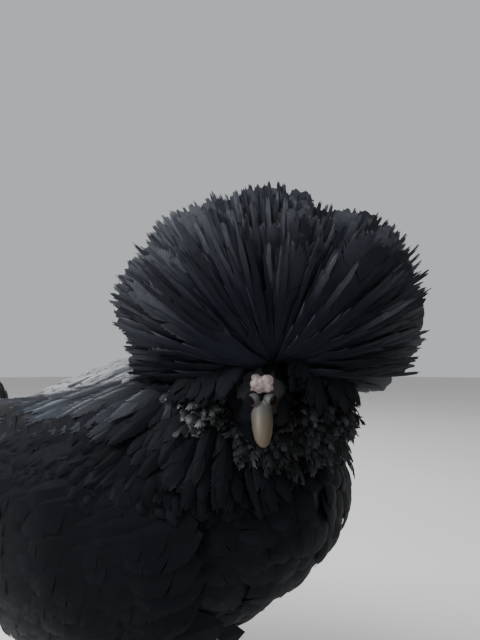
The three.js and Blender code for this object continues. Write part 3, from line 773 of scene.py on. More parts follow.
def vane_faces(n, panels, barbs):
    """Quads between the barbs and one pointed triangle at each barb's end, wound to face outward."""
    k = len(STATIONS)
    e = np.arange(barbs)[:, None] * k
    j = np.arange(k - 1)[None, :]
    quad = np.stack([e + j, e + k + j, e + k + j + 1, e + j + 1], -1).reshape(-1, 4)
    point = np.arange(barbs)
    tip = np.stack([point * k + k - 1, (point + 1) * k + k - 1, (barbs + 1) * k + point], -1)
    size = (barbs + 1) * k + barbs
    base = (np.arange(n * 2 * panels) * size).reshape(n, 2, panels, 1, 1)
    both = []
    for cell in (quad, tip):
        faces = np.concatenate([base[:, :1] + cell[:, ::-1], base[:, 1:] + cell], 1)
        both.append(faces.reshape(-1, cell.shape[1]))
    return both


print("corners across half a vane", len(STATIONS) + 1)

# %% The shaft
SHAFT_STEPS = 6
SHAFT_END = 0.97
SHAFT_TAPER = 0.85
SHAFT_RISE = 0.7
SHAFT_CLEAR = 0.05


def shaft_strip(plan, style):
    """A low ridge along the middle of each feather."""
    n = len(plan["root"])
    s = np.linspace(0, SHAFT_END, SHAFT_STEPS)[None, :, None] + np.zeros((n, 1, 3))
    thin = style["shaft"] * (1 - SHAFT_TAPER * s)
    x = thin * np.array([-1.0, 0.0, 1.0])
    h = SHAFT_CLEAR + thin * np.array([0.0, SHAFT_RISE, 0.0])
    points = on_vane(plan, s, x, h)
    base = np.arange(n)[:, None, None] * SHAFT_STEPS * 3 + np.arange(SHAFT_STEPS - 1)[None, :, None] * 3
    cell = np.array([[0, 3, 4, 1], [1, 4, 5, 2]]).reshape(1, 1, 8)
    return points.reshape(-1, 3), (base + cell).reshape(-1, 4), s, x


print("corners of a shaft", SHAFT_STEPS * 3)

# %% From a plan to a piece
BAKE_PATCH = 0.003


def grow(name, plan, kind, plume, seed):
    """One mesh with every feather of a plan: root, bend, tip, out, half width, tint and address."""
    rng = np.random.default_rng(seed)
    style = STYLES[kind]
    n = len(plan["root"])
    s, x, h, number = (v.reshape(n, -1) for v in vane_layout(plan, style, rng))
    points = on_vane(plan, s, x, h).reshape(-1, 3)
    quads, tips = vane_faces(n, style["panels"], style["barbs"])
    owner = np.repeat(np.arange(n), s.shape[1])
    along, across, number = s.reshape(-1), x.reshape(-1), number.reshape(-1)
    if style["shaft"]:
        ridge, ridge_faces, ridge_s, ridge_x = shaft_strip(plan, style)
        quads = np.concatenate([quads, ridge_faces + len(points)])
        points = np.concatenate([points, ridge])
        owner = np.concatenate([owner, np.repeat(np.arange(n), SHAFT_STEPS * 3)])
        along = np.concatenate([along, ridge_s.reshape(-1)])
        across = np.concatenate([across, ridge_x.reshape(-1)])
        number = np.concatenate([number, ridge_s.reshape(-1)])
    across = across / plan["half"][owner]
    piece = new_mesh(name, points, quads.tolist() + tips.tolist())
    values = {"along": along, "rim": np.abs(across), "tint": plan["tint"][owner], "barb": number}
    for key, value in values.items():
        layer = piece.data.attributes.new(key, "FLOAT", "POINT")
        layer.data.foreach_set("value", value.astype(np.float32))
    local = np.stack([np.clip(across, -1, 1) / 2, np.clip(along, 0, 1) - 0.5], -1) * BAKE_PATCH
    address = plan["flat"][owner] + local
    corners = np.concatenate([quads.reshape(-1), tips.reshape(-1)])
    flat = piece.data.uv_layers.new(name=FLAT_MAP)
    flat.data.foreach_set("uv", address[corners].astype(np.float32).reshape(-1))
    piece.data.materials.append(PLUMES[plume])
    print(name, "feathers", n, "triangles", len(quads) * 2 + len(tips))
    return piece


def plan_of(root, bend, tip, out, half, rng):
    """The arrays that a batch of feathers is grown from, with each root's address on the skin."""
    root, bend, tip = (np.asarray(v, float) for v in (root, bend, tip))
    _, _, flat = ground.nearest(root)
    n = len(root)
    half = np.broadcast_to(half, (n,)).astype(float)
    return dict(root=root, bend=bend, tip=tip, out=unit(out), half=half, tint=rng.random(n), flat=flat)


def joined(plans):
    """One plan out of several."""
    return {key: np.concatenate([p[key] for p in plans]) for key in plans[0]}


def dressed(piece, slot, *nodes):
    """Lets a piece stand for its solids and ride on the body."""
    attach(piece, "root")
    if nodes:
        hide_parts(*nodes)
    return piece


print("size of a feather's patch on the flat map", BAKE_PATCH)

# %% [markdown]
# ## Body feathers
# Contour feathers cover the body like roof tiles. Each lies back along the lie of the coat: away from
# the throat over the breast, then straight back towards the tail. They are scattered evenly over the
# skin, which looks more natural than rows, and each one's bend and tip are dropped back onto the skin
# and lifted by the depth of the coat, so that it hugs the curve. They are short on the breast, longer
# towards the tail, and loose and grey under the belly and at the rear.

# %% Lie of the coat
THROAT = np.array((-6, -66, 204), float)
BACKWARD_PULL = ((-110, 20), (0.25, 1.6))
DROOP = -0.12


def lie_at(points):
    """Direction in which the coat lies, before it is laid into the surface."""
    away = unit(points - THROAT)
    back = np.interp(points[:, 1], *BACKWARD_PULL)[:, None]
    return unit(away + back * np.array((0, 1, 0)) + np.array((0, 0, DROOP)))


print("on the back the coat lies towards", lie_at(np.array([[0.0, 0.0, 220.0]])).round(2))

# %% Lay feathers on the skin
LENGTH_SPREAD, RISE_SPREAD = 0.08, 0.12
BEND_RISE, TIP_RISE = 1.25, 0.85


def lay(points, length, half, rng, high, lie=lie_at, wander=7):
    """Plans feathers that lie on the skin from scattered roots, at a height above it."""
    root, out, _ = ground.nearest(points)
    way = lie(root)
    way = unit(way - out * (way * out).sum(1, keepdims=True))
    turn = rng.normal(0, wander * DEG, len(root))[:, None]
    way = unit(way * np.cos(turn) + np.cross(out, way) * np.sin(turn))
    length = np.broadcast_to(length, (len(root),)) * (1 + rng.normal(0, LENGTH_SPREAD, len(root)))
    near, near_out, _ = ground.nearest(root + way * length[:, None] * 0.5)
    far, far_out, _ = ground.nearest(root + way * length[:, None])
    rise = 1 + rng.normal(0, RISE_SPREAD, len(root))[:, None]
    high = np.broadcast_to(high, (len(root),))[:, None]
    bend = near + near_out * high * BEND_RISE * rise
    tip = far + far_out * high * TIP_RISE * rise
    return plan_of(root, bend, tip, near_out, half, rng)


print("feathers bend at", BEND_RISE, "and end at", TIP_RISE, "of their coat's height")

# %% Zones of the body
NECK_BASE = (-62, 205)
NECK_LEAN = 0.7
LEG_ROOM = 34
BODY_ENDS, LEG_ALONG = 0.62, 45
BARE_OUT, BARE_ALONG, BARE_HEIGHTS = 52, 30, (150, 195)
HEAD_FREE, NECK_FREE = 40, 16


def on_neck(points):
    """How far up the neck a point is: below 0 on the body."""
    return (points[:, 2] - NECK_BASE[1]) * NECK_LEAN - (points[:, 1] - NECK_BASE[0]) * NECK_LEAN


def inside_head(points, reach):
    """True within a reach of the middle of the head."""
    return np.linalg.norm(points - np.array(HEAD_CENTRE), axis=1) < reach


def thigh_share(points):
    """How far down the leg a point is."""
    return (HIP[2] - points[:, 2]) / (HIP[2] - HOCK[2])


def round_leg(points, middle, reach):
    """True near either leg, within a reach of a place along the body."""
    return (np.abs(np.abs(points[:, 0]) - HIP[0]) < LEG_ROOM) & (np.abs(points[:, 1] - middle) < reach)


def body_zone(points):
    """True for the torso, without the head, the neck, the thighs and the strip under the wings."""
    on_leg = (thigh_share(points) > BODY_ENDS) & round_leg(points, 0, LEG_ALONG)
    low, high = BARE_HEIGHTS
    under_wing = (np.abs(points[:, 0]) > BARE_OUT) & (np.abs(points[:, 1]) < BARE_ALONG)
    under_wing &= (points[:, 2] > low) & (points[:, 2] < high)
    free = ~inside_head(points, HEAD_FREE) & (on_neck(points) < NECK_FREE)
    return ~on_leg & ~under_wing & free


print("share of the skin's corners that carry body feathers", round(body_zone(ground.points).mean(), 2))

# %% Plant the body
BODY_SPACING = 8.6
BODY_LENGTH = ((-120, -60, 20, 120), (25, 30, 36, 42))
VENT_START, VENT_TOP, VENT_SLOPE = 58, 172, 0.1
BELLY_START, BELLY_TOP = 10, 112
FLUFF_LENGTH, FLUFF_HALF, FIRM_HALF = 34.0, 9.5, 10.0
FIRM_HIGH, FIRM_FULLER = 7, 3
FLUFF_HIGH, FLUFF_FULLER = 9, 2
COVER_OUT, COVER_BACK = (22, 25), (10, 40)
COVER_HEIGHT, COVER_REACH = 172, 40


def wing_cover(points):
    """From 0 in front of the wings to 1 well under them, where the coat is fuller to fill the room."""
    sideways = np.clip((np.abs(points[:, 0]) - COVER_OUT[0]) / COVER_OUT[1], 0, 1)
    backward = np.clip((points[:, 1] - COVER_BACK[0]) / COVER_BACK[1], 0, 1)
    return sideways * backward * (np.abs(points[:, 2] - COVER_HEIGHT) < COVER_REACH)


def body_plans():
    """Firm feathers for most of the torso, and loose fluff for the belly and the rear."""
    rng = np.random.default_rng(101)
    points = ground.scatter(BODY_SPACING, rng, body_zone)
    y, z = points[:, 1], points[:, 2]
    rear = (y > VENT_START) & (z < VENT_TOP + (y - VENT_START) * VENT_SLOPE)
    fluffy = rear | (z < BELLY_TOP) & (y > BELLY_START)
    length = np.interp(y, *BODY_LENGTH)
    under = wing_cover(points)
    firm_high = FIRM_HIGH + FIRM_FULLER * under[~fluffy]
    firm = lay(points[~fluffy], length[~fluffy], FIRM_HALF, rng, high=firm_high)
    fluff_high = FLUFF_HIGH + FLUFF_FULLER * under[fluffy]
    loose = lay(points[fluffy], FLUFF_LENGTH, FLUFF_HALF, rng, high=fluff_high, wander=14)
    return firm, loose


firm_plan, loose_plan = body_plans()
breast_coat = grow("body_feathers", firm_plan, "contour", "body_black", 111)
fluff_coat = grow("belly_fluff", loose_plan, "downy", "fluff_grey", 112)

# %% Thighs
THIGH_COAT = dict(spacing=6.2, length=21.0, half=7.5, high=4.0, wander=10)
THIGH_FROM, THIGH_TO, THIGH_TOP = 0.55, 1.02, 108
THIGH_MIDDLE, THIGH_ALONG = 9, 48


def plain_coat(name, zone, lie, seed, kind, plume, spacing, **looks):
    """Scatters feathers of one kind over a zone of the skin, lays them and grows them."""
    rng = np.random.default_rng(seed)
    plan = lay(ground.scatter(spacing, rng, zone), rng=rng, lie=lie, **looks)
    return grow(name, plan, kind, plume, seed + 1)


def thigh_lie(points):
    """Down the leg and a little back."""
    return np.broadcast_to(np.array((0.0, 0.35, -1.0)), points.shape)


def thigh_zone(points):
    share = thigh_share(points)
    on_leg = round_leg(points, THIGH_MIDDLE, THIGH_ALONG) & (points[:, 2] < THIGH_TOP)
    return on_leg & (share > THIGH_FROM) & (share < THIGH_TO)


thigh_coat = plain_coat(
    "thigh_feathers", thigh_zone, thigh_lie, 121, "downy", "fluff_grey", **THIGH_COAT
)

# %% [markdown]
# ## Wings
# A folded wing shows its feathers in tiers: long primaries tucked under the secondaries, then the
# greater coverts, each tier lying over the roots of the one behind it. They follow one curved surface
# over the flank, the same one that the solids use, and each tier is lifted a little more. The wrist of
# the wing is tucked under soft flank feathers, so those are planted over it in uneven rows, from the
# breast back.

# %% Wing surface and tiers
WING_SPREAD = [(-66, 58), (-40, 74), (0, 79), (40, 76), (80, 67), (120, 54), (160, 40)]
WING_MIDDLE = 168
WING_HALF_HEIGHT = 84
WING_EDGE, WING_SQUARENESS = 0.95, 2.4
WING_OVERLAP = np.array((0, 0, 0.14))
TIP_SCATTER = 1.3
WING_TIERS = [
    dict(count=8, root=((34, 150), (48, 172)), tip=((140, 157), (166, 186)), half=7.5, lift=0.6),
    dict(count=11, root=((-14, 141), (6, 198)), tip=((78, 129), (136, 196)), half=9.5, lift=3.0),
    dict(count=11, root=((-42, 146), (-24, 202)), tip=((30, 132), (68, 206)), half=9.5, lift=5.8),
    dict(count=11, root=((-52, 148), (-36, 204)), tip=((6, 134), (36, 207)), half=9.5, lift=8.0),
]


def wing_point(side, y, z):
    """A place on the surface that the folded wing follows."""
    spread = smooth_rows(WING_SPREAD, y)[..., 0]
    share = np.minimum(np.abs(z - WING_MIDDLE) / WING_HALF_HEIGHT, WING_EDGE)
    return np.stack([side * spread * np.sqrt(1 - share**WING_SQUARENESS), y, z], -1)


def wing_out(side, y, z):
    """Direction straight out of that surface."""
    along = wing_point(side, y + 1, z) - wing_point(side, y - 1, z)
    up = wing_point(side, y, z + 1) - wing_point(side, y, z - 1)
    out = unit(np.cross(along, up))
    return out * np.where(out[:, :1] * side > 0, 1, -1)


print("the wing is widest at", wing_point(LEFT, np.zeros(1), np.full(1, WING_MIDDLE)).round(1))

# %% Plant the wings
def wing_plan(side, seed):
    """Each feather passes over three places of the surface, each tier lifted over the one behind."""
    rng = np.random.default_rng(seed)
    plans = []
    for tier in WING_TIERS:
        n = tier["count"]
        share = np.linspace(0, 1, n)[:, None]
        start, end = (np.array(tier[key], float) for key in ("root", "tip"))
        start = start[0] + (start[1] - start[0]) * share
        end = end[0] + (end[1] - end[0]) * share + rng.normal(0, TIP_SCATTER, (n, 2))
        places = []
        for t in (0.0, 0.5, 1.0):
            y, z = ((1 - t) * start + t * end).T
            lift = tier["lift"] * min(1.0, 0.4 + t)
            places.append(wing_point(side, y, z) + wing_out(side, y, z) * lift)
        bend = 2 * places[1] - (places[0] + places[2]) / 2
        middle = (start + end) / 2
        out = wing_out(side, middle[:, 0], middle[:, 1]) + WING_OVERLAP
        plans.append(plan_of(places[0], bend, places[2], out, tier["half"], rng))
    return joined(plans)


wing_coats = {}
for name, side in SIDES.items():
    plan = wing_plan(side, 171 + side)
    wing_coats[name] = grow(f"wing_feathers_{name}", plan, "flight", "wing_black", 174 + side)

# %% Flank feathers over the wrist
FLANK_LIFT = ((-88, -62, -32, 12, 60), (2.0, 9.0, 13.0, 12.0, 7.0))
FLANK_STEP = 7.6
FLANK_Y, FLANK_Z = (-86, -14), (118, 212)
FLANK_SCATTER = 2.4
WING_BEGINS, WING_BLEND = -88, 40


def flank_point(side, y, z, lift):
    """Points of the flank: the torso's side in front, the wing's outside further back."""
    half, top, bottom = np.moveaxis(smooth_rows(TORSO, y), -1, 0)
    middle = bottom + (top - bottom) * TORSO_MIDDLE
    rise = np.where(z > middle, top - middle, middle - bottom)
    torso_x = half * np.sqrt(1 - np.minimum(np.abs(z - middle) / rise, 0.97) ** 2)
    wing_x = np.abs(wing_point(side, y, z)[..., 0])
    share = np.clip((y - WING_BEGINS) / WING_BLEND, 0, 1)
    x = torso_x + np.maximum(wing_x - torso_x, 0) * share
    flatter = np.clip(1.2 - np.abs(z - WING_MIDDLE) / 90, 0.4, 1)
    return np.stack([side * (x + lift * flatter), y, z], -1)


def flank_plan(side, seed):
    """Rows of soft feathers over the wrist, with every other one moved back by half a step."""
    rng = np.random.default_rng(seed)
    grid = np.meshgrid(np.arange(*FLANK_Y, FLANK_STEP), np.arange(*FLANK_Z, FLANK_STEP))
    y, z = (v.reshape(-1) for v in grid)
    y = y + rng.normal(0, FLANK_SCATTER, len(y)) + FLANK_STEP / 2 * (np.arange(len(y)) % 2)
    z = z + rng.normal(0, FLANK_SCATTER, len(z))
    length = rng.normal(29, 2, len(y))
    places = []
    for t, extra in ((0.0, 0.0), (0.5, 1.8), (1.0, 1.0)):
        at_y = y + length * t * 0.98
        at_z = z - length * t * 0.2
        lift = np.interp(at_y, *FLANK_LIFT) + extra
        places.append(flank_point(side, at_y, at_z, lift))
    bend = 2 * places[1] - (places[0] + places[2]) / 2
    out = wing_out(side, y + 14, z) + np.array((0, -0.12, 0.12))
    return plan_of(places[0], bend, places[2], out, rng.normal(9.6, 0.6, len(y)), rng)


flank_coats = {}
for name, side in SIDES.items():
    plan = flank_plan(side, 201 + side)
    flank_coats[name] = grow(f"flank_feathers_{name}", plan, "contour", "body_black", 204 + side)

# %% [markdown]
# ## Hackles and cape
# The long neck feathers fall over the shoulders in tiers, the lowest first. They are narrow, glossy and
# a little pointed, and they fan out from the neck, so each runs from a place on the neck to a place on
# the body's surface further back, over a bend that keeps it clear of the tier below.

# %% Tiers of hackles
HACKLE_ARC = 96 * DEG
HACKLE_FRONT = -108
HACKLE_TIERS = 15
HACKLE_COUNT, FEWER_UP = 52, 14
HACKLE_REACH, SHORTER_UP = 52, 96
HACKLE_HALF, HALF_SPREAD = 4.7, 0.5
THROAT_SHARE = 0.66
ROOT_START, ROOT_RUN, ROOT_DEPTH = 0.1, 0.82, -6.0
CAPE_LIFT, TIER_LIFT = 1.5, 7.0
CAPE_BEND, WING_CLEAR, TIER_STEP = 11, 7, 3
TORSO_AXIS_HEIGHT = 165
WING_FRONT, WING_TOP, WING_IN = -80, 214, 24


def clear_of_wing(points, extra):
    """Moves points that would lie in a wing or under its flank feathers out over them."""
    x, y, z = points.T
    limit = np.abs(flank_point(LEFT, y, z, np.interp(y, *FLANK_LIFT) + extra)[:, 0])
    near = (y > WING_FRONT) & (z < WING_TOP) & (np.abs(x) > WING_IN)
    moved = np.where(near, np.sign(x) * np.maximum(np.abs(x), limit), x)
    return np.stack([moved, y, z], -1)


def hackle_plans():
    """The cape of the back and sides, and the feathers of the throat, from one run of tiers."""
    rng = np.random.default_rng(131)
    plans, shares = [], []
    for tier in range(HACKLE_TIERS):
        share = tier / (HACKLE_TIERS - 1)
        count = round(HACKLE_COUNT - FEWER_UP * share)
        around = (np.linspace(-1, 1, count) + rng.normal(0, 0.4 / count, count)) * HACKLE_ARC
        round_share = np.clip(np.abs(around) / HACKLE_ARC, 0, 1)
        root = neck_point(np.full(count, ROOT_START + ROOT_RUN * share), around, ROOT_DEPTH)
        reach = HACKLE_REACH - SHORTER_UP * share
        y = reach + (HACKLE_FRONT - reach) * round_share**4 + rng.normal(0, 5, count)
        lift = CAPE_LIFT + TIER_LIFT * share + rng.normal(0, 0.7, count)
        turn = around * 0.9 + rng.normal(0, 0.03, count)
        on_body = torso_point(y, turn, lift)
        tip = clear_of_wing(on_body, CAPE_LIFT + TIER_STEP * share)
        half_way = (root + on_body) / 2
        out = unit(np.stack([tip[:, 0], -80 * round_share**2, tip[:, 2] - TORSO_AXIS_HEIGHT], -1))
        raised = half_way + out * (CAPE_BEND + TIER_STEP * share)
        bend = clear_of_wing(raised, WING_CLEAR + TIER_STEP * share)
        half = HACKLE_HALF + rng.normal(0, HALF_SPREAD, count)
        plans.append(plan_of(root, bend, tip, out, half, rng))
        shares.append(round_share)
    whole = joined(plans)
    front = np.concatenate(shares) > THROAT_SHARE
    return [{key: value[part] for key, value in whole.items()} for part in (~front, front)]


cape_plan, throat_plan = hackle_plans()
hackle_coat = grow("hackle_feathers", cape_plan, "hackle", "cape_black", 132)
throat_coat = grow("throat_feathers", throat_plan, "hackle", "body_black", 133)

# %% Throat and nape
COLLAR_COAT = dict(spacing=5.6, length=24.0, half=5.6, high=6.0, wander=9)
COLLAR_HEAD, COLLAR_TOP = 24, 250


def collar_lie(points):
    """Down the neck and away from the head."""
    down = unit(THROAT + np.array((0, 0, -40)) - np.array(HEAD_CENTRE))
    return unit(0.9 * down + 0.6 * unit(points - NECK_LINE[2]))


def collar_zone(points):
    below_head = ~inside_head(points, COLLAR_HEAD) & (points[:, 2] < COLLAR_TOP)
    return (on_neck(points) > 0) & below_head


collar_coat = plain_coat(
    "collar_feathers", collar_zone, collar_lie, 141, "contour", "body_black", **COLLAR_COAT
)

# %% Face
BILL_BASE = (0, 27, 1)
BILL_ROOM, EYE_ROOM = 8.5, 6.6
FACE_REACH = 31
FACE_COAT = dict(spacing=2.7, length=8.5, half=2.4, high=1.8, wander=12)


def face_lie(points):
    """Back and outward from the root of the bill."""
    base = placed(HEAD_FRAME, BILL_BASE)
    return unit(points - base + aimed(HEAD_FRAME, (0, -6, -8)))


def face_zone(points):
    """The head, without the root of the bill and the eyes."""
    free = np.linalg.norm(points - placed(HEAD_FRAME, BILL_BASE), axis=1) > BILL_ROOM
    for side in SIDES.values():
        eye = placed(HEAD_FRAME, np.array(EYE_PLACE) * (side, 1, 1))
        free &= np.linalg.norm(points - eye, axis=1) > EYE_ROOM
    return inside_head(points, FACE_REACH) & free


face_coat = plain_coat("face_feathers", face_zone, face_lie, 145, "contour", "body_black", **FACE_COAT)

# %% [markdown]
# ## Crest
# The crest is what names this bird. Its feathers root on a knob of the skull. They rise from the brow,
# sweep over the globe and fall to the nape, so seen from the front long strokes fan out from above the
# comb and their round ends make the rim. That flow is worked out like the field between a source at the
# brow and a sink under the nape. A tip is chosen on the globe, and its feather is traced back upstream
# to its root. Tips are spread by the golden angle, which fills a sphere evenly with no rows. Broad
# feathers alone look like the scales of a cone, so a few thousand narrow wisps lie among them and stand
# a little proud.

# %% Flow over the globe
CREST_HALF = np.array((72, 60, 57), float)
CREST_KNOB = np.array((0, 14, -14), float)
CREST_SOURCE = unit((0, 0.86, -0.51))
CREST_SINK = unit((0, -0.5, -0.87))
CREST_UNDER = unit((0, 0.15, -0.99))
GOLDEN_ANGLE = math.pi * (3 - math.sqrt(5))
FLOW_STEPS = 10
STOP_ANGLE = 9 * DEG


def golden_sphere(count):
    """Directions spread evenly over a sphere."""
    i = np.arange(count)
    height = 1 - 2 * (i + 0.5) / count
    flat = np.sqrt(1 - height**2)
    return np.stack([flat * np.cos(i * GOLDEN_ANGLE), flat * np.sin(i * GOLDEN_ANGLE), height], -1)


def crest_flow(d):
    """Direction in which the crest lies at directions of its globe."""
    from_source, from_sink = d - CREST_SOURCE, d - CREST_SINK
    flow = from_source / (from_source**2).sum(1, keepdims=True)
    flow = flow - from_sink / (from_sink**2).sum(1, keepdims=True)
    return unit(flow - d * (flow * d).sum(1, keepdims=True))


def upstream(d, angle):
    """Traces directions back against the flow by an angle, and stops at the source."""
    for _ in range(FLOW_STEPS):
        near = (d @ CREST_SOURCE > math.cos(STOP_ANGLE))[:, None]
        d = np.where(near, d, unit(d - crest_flow(d) * (angle / FLOW_STEPS)[:, None]))
    return d


print("at the top the crest lies towards", crest_flow(np.array([[0.0, 0.0, 1.0]])).round(2))

# %% Clumps of the crest
LOBE_RATE = 9
LOBE_HEIGHT = 0.09
LOBE_SINK = 0.12
LOBE_WAYS = [
    ((1, 0.2, 0.1), 0.4),
    ((0.3, 0.2, 1), 2.0),
    ((-0.7, 0.3, 0.8), 1.0),
    ((0.1, 1, 0.3), 3.0),
]


def lobes(d):
    """The globe isn't even: soft clumps stand a little out of it, with low places between them."""
    waves = [np.sin(d @ unit(way) * LOBE_RATE + turn) for way, turn in LOBE_WAYS]
    return LOBE_HEIGHT * (sum(waves) / len(waves) - LOBE_SINK)


lobe_range = lobes(golden_sphere(500))
print("clumps reach from", lobe_range.min().round(3), "to", lobe_range.max().round(3), "of the globe")

# %% Plan of the crest
UNDER_ANGLE = 50 * DEG
SOURCE_ANGLE = 58 * DEG
SPARSE_NEAR_SOURCE = ((58, 74, 86), (0.3, 0.7, 1))
LAYERS, LAYER_STEP, REACH_SPREAD = 3, 0.05, 0.012
SWING, SWING_SPREAD, ROOT_SWING = 56, 7, 40 * DEG


def angle_to(d, way):
    """Angles between directions and one way, in radians."""
    return np.arccos(np.clip(d @ way, -1, 1))


def crest_plan(seed, count, half, proud=0.0):
    """Feathers of the crest, in three layers. A share of the globe's size lets them stand proud of it."""
    rng = np.random.default_rng(seed)
    d = unit(golden_sphere(count) + rng.normal(0, 0.02, (count, 3)))
    from_source = angle_to(d, CREST_SOURCE)
    keep = (angle_to(d, CREST_UNDER) > UNDER_ANGLE) & (from_source > SOURCE_ANGLE)
    sparse = rng.random(len(d)) < np.interp(from_source / DEG, *SPARSE_NEAR_SOURCE)
    d = d[keep & sparse]
    n = len(d)
    layer = np.arange(n) % LAYERS
    reach = 1.0 + proud - LAYER_STEP * layer + rng.normal(0, REACH_SPREAD, n) + lobes(d)
    d = unit(d + rng.normal(0, 0.03, (n, 3)))
    swing = rng.normal(SWING, SWING_SPREAD, n) * DEG
    early = upstream(d, swing)
    first = upstream(d, swing + ROOT_SWING)
    tip = d * CREST_HALF * reach[:, None]
    bend = early * CREST_HALF * (reach - 0.02)[:, None]
    root = CREST_KNOB + unit(first + 0.6 * early) * rng.uniform(9, 15, n)[:, None]
    out = unit((d + early) / CREST_HALF + rng.normal(0, 0.0012, (n, 3)))
    half = half * rng.normal(1, 0.09, n)
    root, bend, tip = (placed(CREST_FRAME, v) for v in (root, bend, tip))
    return plan_of(root, bend, tip, aimed(CREST_FRAME, out), half, rng)


print("tips keep", round(UNDER_ANGLE / DEG), "degrees from the underside of the globe")

# %% Plant the crest and the brow
CREST_COUNT, CREST_FEATHER_HALF = 720, 8.2
WISP_COUNT, WISP_HALF, WISP_PROUD = 4700, 1.7, 0.012
BROW_COUNT, BROW_HALF = 90, 4.2


def brow_plan():
    """Short feathers that hang from the brow on both sides of the comb, over the eyes."""
    rng = np.random.default_rng(153)
    n = BROW_COUNT
    side = np.where(np.arange(n) % 2, 1.0, -1.0)
    away = rng.uniform(0, 1, n)
    forward = 27 - 9 * away + rng.normal(0, 1, n)
    root = np.stack([side * (5 + 11 * away), forward, -12 - 4 * away], -1)
    bend = np.stack([side * (12 + 18 * away), 42 - 10 * away, -12 - 6 * away], -1)
    tip = np.stack([side * (13 + 26 * away) - 4, 40 - 12 * away, -33 - 4 * away], -1)
    tip = tip + rng.normal(0, 2, (n, 3))
    out = unit(np.stack([side * 0.5, np.full(n, 0.8), np.full(n, 0.4)], -1))
    root, bend, tip = (placed(CREST_FRAME, v) for v in (root, bend, tip))
    return plan_of(root, bend, tip, aimed(CREST_FRAME, out), BROW_HALF, rng)


broad_plan = crest_plan(151, CREST_COUNT, CREST_FEATHER_HALF)
crest_coat = grow("crest_feathers", broad_plan, "crest", "crest_black", 152)
narrow_plan = crest_plan(155, WISP_COUNT, WISP_HALF, WISP_PROUD)
wisp_coat = grow("crest_wisps", narrow_plan, "wisp", "crest_black", 156)
brow_coat = grow("brow_feathers", brow_plan(), "hackle", "body_black", 154)

# %% [markdown]
# ## Beard and muffs
# Under the bill and on both cheeks the feathers are short, soft and curled, with tips painted paler as a
# highlight, most of all on the lit right cheek, and they stand out in small tufts. Each starts straight
# out of the cheek and curls over, so the bend is far out and the tip comes back down. They hide the eyes
# almost wholly in this breed.

# %% Tufts of the beard and the muffs
BEARD = dict(centre=(0, 12, -22), half=(22, 15, 21), root=(0, -2, 9), facing=(0, 0.75, -0.65))
MUFF = dict(centre=(24, 2, -15), half=(18, 21, 23), root=(-6, 2, 4), facing=(0.85, 0.3, -0.35))
TUFT_COUNT = 1100
TUFT_ROOT, TUFT_BEND, TUFT_TIP = 0.35, 1.06, 0.97
ARCH, CURL_DROP, CURL_OUT = np.array((0, 0, 2.0)), np.array((0, 0, -3.5)), 1.5


def tuft_plan(tufts, side, seed):
    """Curled feathers all over one cushion of the face, but for the part against the skull."""
    rng = np.random.default_rng(seed)
    n = TUFT_COUNT
    mirror = np.array((side, 1, 1), float)
    facing = unit(np.array(tufts["facing"]) * mirror)
    centre, half = np.array(tufts["centre"]) * mirror, np.array(tufts["half"], float)
    knob = np.array(tufts["root"]) * mirror
    i = np.arange(n)
    height = 1 - 1.7 * (i + 0.5) / n
    around = i * GOLDEN_ANGLE
    first = unit(np.cross(facing, (0, 0, 1)))
    second = np.cross(facing, first)
    flat = np.sqrt(1 - height**2)
    way = facing * height[:, None] + first * (flat * np.cos(around))[:, None]
    way = way + second * (flat * np.sin(around))[:, None]
    reach = rng.uniform(0.8, 1.02, n)[:, None]
    rim = way * half * reach
    root = knob + (rim - knob) * TUFT_ROOT
    bend = rim * TUFT_BEND + ARCH
    curl = rng.normal(0, 2.2, (n, 3)) + CURL_DROP + way * CURL_OUT
    tip = rim * TUFT_TIP + curl
    out = unit(way + np.array((0, 0, 0.8)) + rng.normal(0, 0.35, (n, 3)))
    root, bend, tip = (placed(HEAD_FRAME, v + centre) for v in (root, bend, tip))
    return plan_of(root, bend, tip, aimed(HEAD_FRAME, out), rng.uniform(1.4, 2.5, n), rng)


beard_coat = grow("beard_feathers", tuft_plan(BEARD, LEFT, 161), "curl", "muff_black", 162)
muff_coats = {}
for name, side in SIDES.items():
    # The right muff, on the lit side, gets tips painted paler: a painted highlight.
    tone = "muff_painted_highlight" if name == "right" else "muff_black"
    plan = tuft_plan(MUFF, side, 163 + side)
    muff_coats[name] = grow(f"muff_feathers_{name}", plan, "curl", tone, 166 + side)

# %% [markdown]
# ## Tail
# A hen's tail is a tent: the feathers of each side stand like the leaves of a half-open book, with
# shorter coverts over their roots.

# %% Tail feathers
TAIL_ROOT = (0, 143, 190)
TAIL_TIERS = [
    dict(count=7, low=14, high=50, length=(98, 122), half=12.5, start=0, out=2.2),
    dict(count=5, low=20, high=52, length=(58, 72), half=12, start=-6, out=6),
    dict(count=4, low=24, high=50, length=(38, 46), half=11, start=-12, out=9),
]
SPLAY_LOW, SPLAY_LESS = 11, 8
TILT_LOW, TILT_MORE = 6, 46
ROOTS_APART, ROOTS_SINK, ROOTS_RISE = 7, 6, 18
TAIL_ARCH = 5


